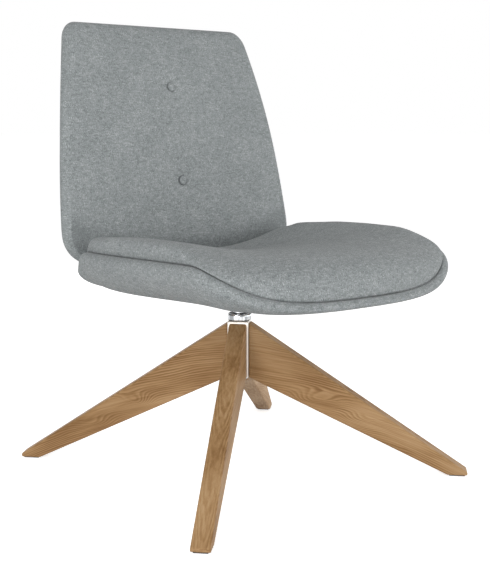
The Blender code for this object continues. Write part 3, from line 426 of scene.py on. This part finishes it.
def plated(name, low, high, roughness, grain, streak=45.0):
    """Plated metal: fine drawn lines in the polish, and upright streaks in the colour: painted reflections
    and unevenness.
    """
    shader = Shader(name, **{"Metallic": 1.0})
    place = shader.object_place()
    x, y, z = shader.parts(place)
    drawn = shader.vector(shader.times(x, 60.0), shader.times(y, 60.0), shader.times(z, 3000.0))
    lines = shader.noise(drawn, 1.0, 2.0)
    patch = shader.noise(shader.vector(x, y, shader.times(z, 0.2)), streak, 2.0)
    # On the polished chrome these streaks are painted reflections of dark surroundings; on the satin chrome
    # and the zinc they are an unevenness of the plate
    shader.feed("Base Color", shader.ramp(patch, [(0.36, low), (0.62, high)]))
    shader.feed("Roughness", shader.total(
        roughness,
        shader.times(lines, grain),
        shader.times(patch, grain)))
    shader.bump(lines, 0.04, 0.0002)
    return shader.material


def moulded(name, low, high):
    """Moulded nylon: fine grain and a dull gloss."""
    shader = Shader(name, **{"Specular IOR Level": 0.4})
    place = shader.object_place()
    grain = shader.noise(place, 1500.0, 2.0)
    patch = shader.noise(place, 70.0, 2.0)
    shader.feed("Base Color", shader.ramp(patch, [(0.3, low), (0.7, high)]))
    shader.feed("Roughness", shader.span(grain, 0.3, 0.7, 0.45, 0.6))
    shader.bump(grain, 0.15, 0.0002)
    return shader.material


def birch_ply(name):
    """Birch plywood: pale faces with long soft figure, and the plies' lines along the edges."""
    shader = Shader(name, **{"Specular IOR Level": 0.3})
    place = shader.object_place()
    x, y, z = shader.parts(place)
    lengthwise = shader.vector(shader.times(x, 90.0), shader.times(y, 9.0), shader.times(z, 9.0))
    figure = shader.noise(lengthwise, 1.0, 3.0, 0.6)
    plies = shader.math("FRACT", shader.times(z, 1 / PLY_PAIR))
    tone = shader.total(figure, shader.times(shader.math("GREATER_THAN", plies, 0.5), 0.06))
    shader.feed("Base Color", shader.ramp(tone, [(0.3, (0.44, 0.30, 0.17)), (0.7, (0.62, 0.46, 0.29))]))
    shader.feed("Roughness", shader.span(figure, 0.3, 0.7, 0.6, 0.75))
    shader.bump(figure, 0.1, 0.0003)
    return shader.material


# Forms of the upholstery

def ease(start, end, value):
    share = np.clip((value - start) / (end - start), 0, 1)
    return share * share * (3 - 2 * share)


def by_place(sizes, y):
    """A size that changes along the seat from its side value to its front and rear values."""
    side, front, rear, front_blend, rear_blend = sizes
    return side + (front - side) * ease(*front_blend, y) + (rear - side) * ease(*rear_blend, y)


def rim_outline(angle, offset=0.0):
    """Plan outline about the centre of the front arc: 0 is the front, pi the rear, + the sitter's left."""
    along = np.cos(angle)
    across = np.sin(angle)
    ahead = along > 0
    power = 2 / np.where(ahead, FRONT_SQUARENESS, REAR_SQUARENESS)
    depth = np.where(ahead, FRONT_ARC_DEPTH, SEAT_REAR - ARC_CENTRE) + offset
    x = (SEAT_HALF + offset) * np.sign(across) * np.abs(across) ** power
    return x, ARC_CENTRE - depth * np.sign(along) * np.abs(along) ** power


def rim_height(y):
    side = RIM_SIDE_HEIGHT - RIM_SIDE_SLOPE * y
    fall = np.clip((-y - RIM_FALL_START) / (RIM_FALL_END - RIM_FALL_START), 0, 1) ** RIM_FALL_CURVE
    to_rear = (RIM_REAR_HEIGHT - side) * ease(*RIM_REAR_BLEND, y)
    return side + (RIM_FRONT_HEIGHT - side) * ease(0, 1, fall) + to_rear


def rim_angles(shares):
    """Outline angles at shares of the way round from the front, spread by length and by turning."""
    near_side = np.geomspace(1e-12, 0.4, 4000)
    dense = np.unique(np.concatenate([pi / 2 - near_side, pi / 2 + near_side, np.linspace(0, pi, 4000)]))
    x, y = rim_outline(dense)
    length = np.concatenate([[0], np.cumsum(np.hypot(np.diff(x), np.diff(y)))])
    even = np.interp(np.linspace(0, length[-1], RIM_SAMPLES + 1), length, dense)
    x, y = rim_outline(even)
    heading = np.unwrap(np.arctan2(np.diff(y), np.diff(x)))
    turning = np.abs(np.diff(heading, prepend=heading[0]))
    way = np.concatenate([[0], np.cumsum(1 / RIM_SAMPLES + TURNING_WEIGHT * turning / turning.sum())])
    half = np.interp(np.abs(shares) * 2, way / way[-1], even)
    return half * np.sign(shares)


def tray_points(angle, ring):
    """Ring 0 to 1 is the lip, 1 to 2 the belly, 2 to 3 the underside, 3 to 4 its opening, 4 to 5 the bowl.

    The bowl's rear is a shelf, which closes the gap under the back.
    """
    rim_y = rim_outline(angle)[1]
    rim = rim_height(rim_y)
    lip = by_place(LIP, rim_y)
    equator = rim - LIP_DROP * lip
    if ring <= 1:
        turn = pi / 2 * ring
        x, y = rim_outline(angle, lip * sin(turn))
        return x, y, rim - LIP_DROP * lip * (1 - cos(turn))
    inset = by_place(UNDERSIDE_INSET, rim_y)
    fullness = by_place(BELLY_FULLNESS, rim_y)
    turn = pi / 2 * min(ring - 1, 1)
    x, y = rim_outline(angle, lip - (inset + lip) * (1 - max(cos(turn), 0) ** (2 / fullness)))
    if ring <= 2:
        return x, y, equator + (SEAT_UNDERSIDE - equator) * sin(turn) ** (2 / fullness)
    hole_x = TRAY_OPENING * np.sin(angle)
    hole_y = -TRAY_OPENING * np.cos(angle)
    if ring <= 3:
        share = ring - 2
        return x + (hole_x - x) * share, y + (hole_y - y) * share, np.full_like(x, SEAT_UNDERSIDE)
    if ring < 4:
        return hole_x, hole_y, np.full_like(x, SEAT_UNDERSIDE + (TRAY_FLOOR - SEAT_UNDERSIDE) * (ring - 3))
    turn = pi / 2 * (5 - ring)
    x, y = rim_outline(angle, -TRAY_WALL * (1 - cos(turn)))
    shelf = SHELF_SHARE * ease(*SHELF_BLEND, rim_y)
    return x, y, rim + (TRAY_FLOOR - rim) * sin(turn) * (1 - shelf)


def seat_surface(x, y):
    """Height of the seat's surface away from the rolled edge."""
    middle = CUSHION_REAR_HEIGHT + CUSHION_RISE * ease(*CUSHION_RISE_BLEND, y)
    wing = WING_HEIGHT
    for fall, stretch in WING_FALLS:
        wing = wing - fall * ease(*stretch, y)
    drop = CUSHION_FRONT_DROP * ease(CUSHION_FRONT_START, -SEAT_FRONT, y)
    return middle + (wing - middle) * (np.abs(x) / SEAT_HALF) ** DISH_CURVE - drop


def pad_top(angle, spread):
    edge_x, edge_y = rim_outline(angle)
    rim = rim_height(edge_y)
    roll = by_place(EDGE_ROLL, edge_y)
    lift = np.maximum(1 - spread**roll, 0) ** EDGE_FULLNESS
    bulge = EDGE_SWELL * 4 * lift * (1 - lift) * ease(*SWELL_BLEND, spread)
    swell = 1 + bulge * (1 - ease(*SWELL_REAR_BLEND, edge_y))
    x = edge_x * spread * swell
    y = ARC_CENTRE + (edge_y - ARC_CENTRE) * spread * swell
    return x, y, rim + (seat_surface(x, y) - rim) * lift


def pad_underside(angle, spread):
    rim = rim_height(rim_outline(angle)[1])
    below = np.clip((1 - spread) / PAD_WALL_SHARE, 0, 1)
    x, y = rim_outline(angle, -(TRAY_WALL + SOFT_GAP) * (1 - np.cos(pi / 2 * below)))
    inner = np.minimum(spread / (1 - PAD_WALL_SHARE), 1)
    height = rim + (PAD_FLOOR - rim) * np.sin(pi / 2 * below)
    return x * inner, ARC_CENTRE + (y - ARC_CENTRE) * inner, height


def face_depth(height):
    sweep = BACK_SWEEP * np.maximum(height - BACK_SWEEP_START, 0) ** 2
    return BACK_DEPTH + BACK_LEAN * (height - BACK_DEPTH_HEIGHT) + sweep


def back_half_width(height):
    share = np.maximum(height - BACK_TAPER_START, 0) / (BACK_TOP - BACK_TAPER_START)
    return (BACK_WIDTH - BACK_TAPER * (BACK_TAPER_EVEN * share + BACK_TAPER_CURVED * share**2)) / 2


def crown(across, up):
    return BACK_CROWN * (1 - across**2) * (1 - up**4)


def swelling_face(x, height):
    """Depth of the back's face without the buttons' tufts."""
    across = np.minimum(np.abs(x) / (back_half_width(height) - BACK_EDGE), 1)
    up = np.minimum(np.abs(height - BACK_MIDDLE) / (BACK_REACH - BACK_EDGE), 1)
    return face_depth(height) - crown(across, up)


def face_behind(points):
    """Depth of the back's face behind points of the seat pad."""
    return swelling_face(points[:, 0], np.maximum(points[:, 2], BACK_FOOT))


def back_points(across, up, deep):
    """Points of the back from their places across and up, each -1 to 1, and deep, 0 front to 1 rear."""
    inset = BACK_EDGE * (1 - sin(pi * deep))
    half_x = BACK_WIDTH / 2 - inset
    half_z = BACK_REACH - inset
    corner = np.where(up > 0, BACK_TOP_CORNER, BACK_BOTTOM_CORNER) - inset
    x, z = across * half_x, up * half_z
    core_x = np.clip(x, corner - half_x, half_x - corner)
    core_z = np.clip(z, corner - half_z, half_z - corner)
    away_x, away_z = x - core_x, z - core_z
    away = np.hypot(away_x, away_z)
    longer = np.maximum(np.abs(away_x), np.abs(away_z))
    scale = np.where(away > 1e-9, longer / np.maximum(away, 1e-9), 1)
    x, height = core_x + away_x * scale, BACK_MIDDLE + core_z + away_z * scale
    x = x * (back_half_width(height) - inset) / half_x
    depth = face_depth(height) + BACK_EDGE * (1 - cos(pi * deep))
    if deep == 0:
        depth = depth - crown(np.abs(across), np.abs(up))
        for button in BUTTON_HEIGHTS:
            depth = depth + TUFT_DEPTH * np.exp(-(x**2 + (height - button) ** 2) / TUFT_SPREAD**2)
    return x, depth, height


# Soft pieces

def new_piece(name, mesh):
    piece = bpy.data.objects.new(name, mesh)
    bpy.context.scene.collection.objects.link(piece)
    return piece


def settled_mesh(piece):
    graph = bpy.context.evaluated_depsgraph_get()
    return bpy.data.meshes.new_from_object(piece.evaluated_get(graph))


def points_of(mesh):
    points = np.empty(len(mesh.vertices) * 3)
    mesh.vertices.foreach_get("co", points)
    return points.reshape(-1, 3)


def normals_of(mesh):
    normals = np.empty(len(mesh.vertices) * 3)
    mesh.vertices.foreach_get("normal", normals)
    return normals.reshape(-1, 3)


def put_points(mesh, points):
    mesh.vertices.foreach_set("co", points.reshape(-1))
    mesh.update()


def store(mesh, name, values):
    layer = mesh.attributes.new(name, "FLOAT", "POINT")
    layer.data.foreach_set("value", np.ascontiguousarray(values, dtype=np.float32))


def in_place(x, y, z):
    return np.stack(np.broadcast_arrays(x, np.asarray(y) + SWIVEL_Y, z), -1)


def strip_faces(rows, closed=False):
    """Quads between neighbouring rows of a table of point numbers."""
    if closed:
        rows = np.concatenate([rows, rows[:, :1]], 1)
    quads = np.stack([rows[:-1, :-1], rows[1:, :-1], rows[1:, 1:], rows[:-1, 1:]], -1)
    return quads.reshape(-1, 4)


def border(table):
    """The outer ring of a table, in order."""
    return np.concatenate([table[0, :-1], table[:-1, -1], table[-1, :0:-1], table[:0:-1, 0]])


def closed_mesh(name, points, faces):
    body = bpy.data.meshes.new(name)
    body.from_pydata(points.tolist(), [], faces.tolist())
    shape = bmesh.new()
    shape.from_mesh(body)
    bmesh.ops.recalc_face_normals(shape, faces=shape.faces)
    shape.to_mesh(body)
    shape.free()
    return body


def seam_shade_at(angle):
    """How dark the painted shade along the seat's seam is: fainter at the front."""
    return by_place(SEAM_SHADE_DEPTH, rim_outline(angle)[1])


def sew(mesh, distance, depth):
    """Mark the cover's distance from its seam and how dark the painted shade along the seam is. The seam
    itself stays sharp.
    """
    store(mesh, "seam", distance)
    store(mesh, "seam_shade", depth)
    layer = mesh.attributes.new("crease_edge", "FLOAT", "EDGE")
    on_seam = [float(max(distance[list(edge.vertices)]) < 1e-6) for edge in mesh.edges]
    layer.data.foreach_set("value", on_seam)


def tray_form():
    """The tray's rings, from the seam down round the belly, through the opening and up the bowl."""
    angles = rim_angles(np.linspace(-0.5, 0.5, 4 * RIM_STEPS + 1)[:-1])
    lip = np.linspace(0, 1, LIP_RINGS + 1)
    belly = np.linspace(1, 2, BELLY_RINGS + 1)[1:]
    underside = np.linspace(2, 3, UNDERSIDE_RINGS + 1)[1:]
    bowl = np.linspace(4, 5, BOWL_RINGS + 1)[:-1]
    rings = np.concatenate([lip, belly, underside, [3.5], bowl])
    points = np.concatenate([in_place(*tray_points(angles, ring)) for ring in rings])
    table = np.arange(len(points)).reshape(len(rings), -1)
    table = np.concatenate([table, table[:1]])
    mesh = closed_mesh("seat_tray_form", points, strip_faces(table, closed=True))
    rim = np.tile(points[:len(angles)], (len(rings), 1))
    sew(mesh, np.linalg.norm(points - rim, axis=1), np.tile(seam_shade_at(angles), len(rings)))
    # The tray gets no painted crease shade
    store(mesh, "crease_shade_reach", np.full(len(points), PAINTED_FOLD_WIDTH))
    return mesh, len(angles)


def pad_form():
    """Top and underside, each a square grid drawn out to the seat's outline, sharing the rim."""
    steps = np.linspace(-1, 1, RIM_STEPS + 1)
    u, v = np.meshgrid(steps, steps)
    reach = np.maximum(np.abs(u), np.abs(v))
    safe = np.maximum(reach, 1e-9)
    front = (np.abs(v) >= np.abs(u)) & (v < 0)
    rear = (np.abs(v) >= np.abs(u)) & (v > 0)
    along_rear = np.sign(u) * 0.5 - u / safe / 8
    along_side = np.sign(u) * (2 + v / safe) / 8
    share = np.where(front, u / safe / 8, np.where(rear, along_rear, along_side))
    share = np.where(rear & (u == 0), 0.5, share)
    angle = rim_angles(share)
    top = in_place(*pad_top(angle, np.sin(pi / 2 * reach)))
    low = in_place(*pad_underside(angle, reach))
    points = np.concatenate([top.reshape(-1, 3), low.reshape(-1, 3)])
    limit = face_behind(points) - SOFT_GAP + SWIVEL_Y
    points[:, 1] = np.minimum(points[:, 1], limit)
    groove = 1 - ease(0, GROOVE_WIDTH, limit - points[:, 1])[:u.size]
    points[:u.size, 2] -= GROOVE_DEPTH * groove * (reach.ravel() < 1)
    table = np.arange(u.size).reshape(u.shape)
    below = table + u.size
    for upper, lower in zip(border(table), border(below)):
        below.flat[lower - u.size] = upper
    faces = np.concatenate([strip_faces(table), strip_faces(below)[:, ::-1]])
    used = np.unique(faces)
    mesh = closed_mesh("seat_pad_form", points[used], np.searchsorted(used, faces))
    rim = in_place(*pad_top(angle, np.ones_like(angle))).reshape(-1, 3)
    distance = np.linalg.norm(points - np.tile(rim, (2, 1)), axis=1)
    sew(mesh, distance[used], np.tile(seam_shade_at(angle).ravel(), 2)[used])
    # Distance in front of the back, which sets the painted shade in the crease
    store(mesh, "crease_shade_reach", (limit - points[:, 1])[used])
    return mesh, u.size


def gathered(count, gather):
    """Steps from -1 to 1 that lie closer together at both ends."""
    even = np.linspace(-1, 1, count + 1)
    return even + (np.sin(even * pi / 2) - even) * gather


def back_form():
    """The back, with each point's distance behind the seam round its edge."""
    across, up = np.meshgrid(gathered(BACK_COLUMNS, 0.5), gathered(BACK_ROWS, 0.45))
    deeps = np.linspace(0, 1, BACK_RINGS + 1)
    front, rear = in_place(*back_points(across, up, 0)), in_place(*back_points(across, up, 1))
    rim_across, rim_up = border(across), border(up)
    rings = [in_place(*back_points(rim_across, rim_up, deep)) for deep in deeps[1:-1]]
    points = np.concatenate([front.reshape(-1, 3), rear.reshape(-1, 3)] + rings)
    table = np.arange(across.size).reshape(across.shape)
    edge = np.arange(2 * across.size, len(points)).reshape(len(rings), -1)
    edge = np.concatenate([border(table)[None], edge, border(table + across.size)[None]])
    edge_faces = strip_faces(edge, closed=True)
    faces = np.concatenate([strip_faces(table), strip_faces(table + across.size)[:, ::-1], edge_faces])
    mesh = closed_mesh("back_pad_form", points, faces)
    edge_deep = np.repeat(deeps[1:-1], len(rim_across))
    deep = np.concatenate([np.zeros(across.size), np.ones(across.size), edge_deep])
    return mesh, (deep - BACK_SEAM) * pi * BACK_EDGE


def inflated(mesh, hidden, sewn):
    """The cover's points, with the relief that a cloth simulation gives it.

    The cover is blown up from a slightly smaller form. Hidden points keep their place on the form, sewn
    ones stay at the smaller form, and the rest lie a little outside the form.
    """
    form = points_of(mesh)
    normals = normals_of(mesh)
    free = ~(hidden | sewn)
    start = form - TUCK * normals * ~hidden[:, None]
    put_points(mesh, start)
    piece = new_piece("cover", mesh)
    group = piece.vertex_groups.new(name="held")
    group.add([int(i) for i in np.flatnonzero(~free)], 1.0, "REPLACE")
    cloth = piece.modifiers.new("cloth", "CLOTH")
    cloth.settings.quality = 6
    cloth.settings.mass = 0.3
    cloth.settings.tension_stiffness = 12
    cloth.settings.compression_stiffness = 12
    cloth.settings.shear_stiffness = 8
    cloth.settings.bending_stiffness = 4
    cloth.settings.use_pressure = True
    cloth.settings.uniform_pressure_force = PRESSURE
    cloth.settings.vertex_group_mass = "held"
    cloth.settings.effector_weights.gravity = 0
    cloth.point_cache.frame_start = 1
    cloth.point_cache.frame_end = CLOTH_FRAMES
    scene = bpy.context.scene
    for step in range(1, CLOTH_FRAMES + 1):
        scene.frame_set(step)
    moved = settled_mesh(piece)
    outward = ((points_of(moved) - start) * normals).sum(1)
    bpy.data.objects.remove(piece)
    bpy.data.meshes.remove(moved)
    scene.frame_set(1)
    relief = np.clip(outward - np.median(outward[free]), -RELIEF, RELIEF)
    lift = np.where(hidden, 0, np.where(sewn, -TUCK, PLUMP + relief))
    edges = np.array([edge.vertices[:] for edge in mesh.edges])
    count = np.bincount(edges.ravel(), minlength=len(lift))
    for _ in range(SMOOTHING_ROUNDS):
        around = np.bincount(edges[:, 0], lift[edges[:, 1]], len(lift))
        around += np.bincount(edges[:, 1], lift[edges[:, 0]], len(lift))
        lift += free * (around / count - lift) * 0.5
    return form + normals * lift[:, None]


def soft_piece(name, node, mesh, material, hidden, sewn):
    """A padded piece in the place of a soft node."""
    put_points(mesh, inflated(mesh, hidden, sewn))
    mesh.shade_smooth()
    mesh.materials.append(material)
    piece = new_piece(name, mesh)
    finer = piece.modifiers.new("finer", "SUBSURF")
    finer.levels = 1
    finer.render_levels = 1
    finer.use_limit_surface = False
    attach(piece, "seat")
    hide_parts(node)


fabric = woven_fabric("grey_melange")
# The seat's and the back's cloth carry painted shade along their seams
seat_seam_shaded_fabric = woven_fabric("grey_melange_seat", SEAT_SEAM_SHADE_WIDTH)
# The back's cloth also carries painted shadow round its buttons
button_shadows = zip(BUTTON_HEIGHTS, BUTTON_SHADOW_SHADES)
seamed_fabric = woven_fabric("grey_melange_back", BACK_SEAM_SHADE_WIDTH, button_shadows)

tray_mesh, ring_size = tray_form()
ring = np.arange(len(tray_mesh.vertices)) // ring_size
tray_hidden = (ring == 0) | (ring > LIP_RINGS + BELLY_RINGS)
soft_piece("seat_shell", "seat_tray", tray_mesh, seat_seam_shaded_fabric, tray_hidden, np.zeros_like(tray_hidden))

pad_mesh, top_size = pad_form()
pad_points = points_of(pad_mesh)
near_back = face_behind(pad_points) + SWIVEL_Y - pad_points[:, 1]
pad_hidden = (np.arange(len(pad_points)) >= top_size) | (near_back < HELD_NEAR_BACK)
pad_rim = border(np.arange(top_size).reshape(int(top_size**0.5), -1))
pad_hidden[pad_rim] = True
soft_piece("seat_cushion", "seat_pad", pad_mesh, seat_seam_shaded_fabric, pad_hidden, np.zeros_like(pad_hidden))

back_mesh, seam_distance = back_form()
store(back_mesh, "seam", seam_distance)
# How dark the painted shade along the back's seam is
store(back_mesh, "seam_shade", np.full(len(seam_distance), BACK_SEAM_SHADE_DEPTH))
back_place = points_of(back_mesh)
over_seat = np.clip(back_place[:, 0], -SEAT_HALF, SEAT_HALF)
above_seat = back_place[:, 2] - seat_surface(over_seat, back_place[:, 1] - SWIVEL_Y)
in_front = seam_distance < -FACE_TURN * pi * BACK_EDGE
# Height above the seat on the back's front, which sets the painted shade in the crease
store(back_mesh, "crease_shade_reach", np.where(in_front, above_seat, PAINTED_FOLD_WIDTH))
sewn = np.abs(seam_distance) < SEAM_HOLD
for button in BUTTON_HEIGHTS:
    beside_button = np.hypot(back_place[:, 0], back_place[:, 2] - button) < BUTTON_HOLD
    sewn |= beside_button & in_front
soft_piece("back_cushion", "back_pad", back_mesh, seamed_fabric, np.zeros_like(sewn), sewn)


# Materials of the nodes that stay

def dress(names, material):
    for name in names:
        mesh = nodes[name].data
        mesh.materials.clear()
        mesh.materials.append(material)


by_slot = {}
for subpart in frame["record"]["subparts"]:
    by_slot.setdefault(subpart["material_slot"], []).append(subpart["node"])

# The polished chrome's dark streaks are painted reflections
polished = plated("polished_chrome", (0.30, 0.31, 0.32), (0.74, 0.75, 0.76), 0.05, 0.06, streak=150.0)
satin = plated("satin_chrome", (0.62, 0.57, 0.52), (0.74, 0.69, 0.63), 0.22, 0.10)
zinc = plated("zinc_plate", (0.40, 0.41, 0.43), (0.50, 0.51, 0.53), 0.22, 0.16)
dress(by_slot["chrome"], polished)
dress(["base_hub"], satin)
dress(by_slot["steel"], zinc)
dress(by_slot["nylon"], moulded("black_nylon", (0.018, 0.017, 0.017), (0.035, 0.033, 0.032)))
dress(by_slot["plywood"], birch_ply("birch_plywood"))
dress(by_slot["fabric"], fabric)
for seed, (leg, angle) in enumerate(LEG_ANGLES.items()):
    dress([leg], oak("oiled_oak_" + leg, angle, seed, LEG_EYES[leg]))


# Studio

def studio_floor():
    mesh = bpy.data.meshes.new("floor")
    far = FLOOR_HALF
    plan = [(-far, -far), (far, -far), (far, far), (-far, far)]
    mesh.from_pydata([(x, y, FLOOR_LEVEL) for x, y in plan], [], [(0, 1, 2, 3)])
    material = bpy.data.materials.new("floor_paint")
    material.use_nodes = True
    tree = material.node_tree
    tree.nodes.clear()
    paint = tree.nodes.new("ShaderNodeBsdfDiffuse")
    paint.inputs["Color"].default_value = (FLOOR_GREY, FLOOR_GREY, FLOOR_GREY, 1)
    glow = tree.nodes.new("ShaderNodeEmission")
    path = tree.nodes.new("ShaderNodeLightPath")
    seen = tree.nodes.new("ShaderNodeMath")
    seen.operation = "MAXIMUM"
    tree.links.new(path.outputs["Is Camera Ray"], seen.inputs[0])
    tree.links.new(path.outputs["Is Glossy Ray"], seen.inputs[1])
    level = tree.nodes.new("ShaderNodeMath")
    level.operation = "MULTIPLY"
    level.inputs[1].default_value = FLOOR_GLOW
    tree.links.new(seen.outputs[0], level.inputs[0])
    tree.links.new(level.outputs[0], glow.inputs["Strength"])
    both = tree.nodes.new("ShaderNodeAddShader")
    tree.links.new(paint.outputs[0], both.inputs[0])
    tree.links.new(glow.outputs[0], both.inputs[1])
    output = tree.nodes.new("ShaderNodeOutputMaterial")
    tree.links.new(both.outputs[0], output.inputs["Surface"])
    mesh.materials.append(material)
    new_piece("floor", mesh)


def white_world(horizon, overhead):
    world = bpy.data.worlds.new("studio")
    bpy.context.scene.world = world
    world.use_nodes = True
    tree = world.node_tree
    tree.nodes.clear()
    path = tree.nodes.new("ShaderNodeLightPath")
    seen = tree.nodes.new("ShaderNodeMath")
    seen.operation = "MAXIMUM"
    tree.links.new(path.outputs["Is Camera Ray"], seen.inputs[0])
    clear = tree.nodes.new("ShaderNodeMath")
    clear.operation = "MAXIMUM"
    tree.links.new(path.outputs["Is Glossy Ray"], clear.inputs[0])
    tree.links.new(path.outputs["Is Transmission Ray"], clear.inputs[1])
    tree.links.new(clear.outputs[0], seen.inputs[1])
    place = tree.nodes.new("ShaderNodeTexCoord")
    parts = tree.nodes.new("ShaderNodeSeparateXYZ")
    tree.links.new(place.outputs["Generated"], parts.inputs[0])
    ambient = tree.nodes.new("ShaderNodeMapRange")
    ambient.inputs["To Min"].default_value = horizon
    ambient.inputs["To Max"].default_value = overhead
    tree.links.new(parts.outputs["Z"], ambient.inputs["Value"])
    level = tree.nodes.new("ShaderNodeMapRange")
    level.inputs["To Max"].default_value = 1.0
    tree.links.new(ambient.outputs[0], level.inputs["To Min"])
    tree.links.new(seen.outputs[0], level.inputs["Value"])
    sky = tree.nodes.new("ShaderNodeBackground")
    sky.inputs["Color"].default_value = (1, 1, 1, 1)
    tree.links.new(level.outputs[0], sky.inputs["Strength"])
    output = tree.nodes.new("ShaderNodeOutputWorld")
    tree.links.new(sky.outputs[0], output.inputs["Surface"])


def soft_light(name, place, target, size, power):
    lamp = bpy.data.lights.new(name, "AREA")
    lamp.shape = "RECTANGLE"
    lamp.size, lamp.size_y = size
    lamp.energy = power
    light = bpy.data.objects.new(name, lamp)
    bpy.context.scene.collection.objects.link(light)
    light.location = place
    light.rotation_euler = (Vector(target) - Vector(place)).to_track_quat("-Z", "Y").to_euler()


def photo_camera():
    lens = bpy.data.cameras.new("camera")
    lens.sensor_fit = "VERTICAL"
    lens.sensor_height = SENSOR
    lens.sensor_width = SENSOR
    lens.lens = SENSOR * FOCAL_PIXELS / IMAGE_HEIGHT
    camera = bpy.data.objects.new("camera", lens)
    bpy.context.scene.collection.objects.link(camera)
    camera.location = CAMERA_PLACE
    camera.rotation_euler = Euler((radians(90 - CAMERA_PITCH), 0, radians(CAMERA_AZIMUTH)))
    bpy.context.scene.camera = camera


studio_floor()
white_world(horizon=0.68, overhead=0.32)
soft_light("key", place=(-2.3, -1.7, 1.15), target=(0, 0, 0.42), size=(2.0, 1.6), power=70)
soft_light("fill", place=(1.6, -2.4, 0.65), target=(0, 0, 0.30), size=(2.0, 1.1), power=28)
soft_light("side", place=(2.4, -0.45, 0.5), target=(0, 0, 0.28), size=(1.2, 0.8), power=15)
soft_light("rear", place=(0.3, 2.8, 0.7), target=(0, 0, 0.42), size=(1.8, 0.9), power=14)
photo_camera()
bpy.context.scene.view_settings.view_transform = "Standard"
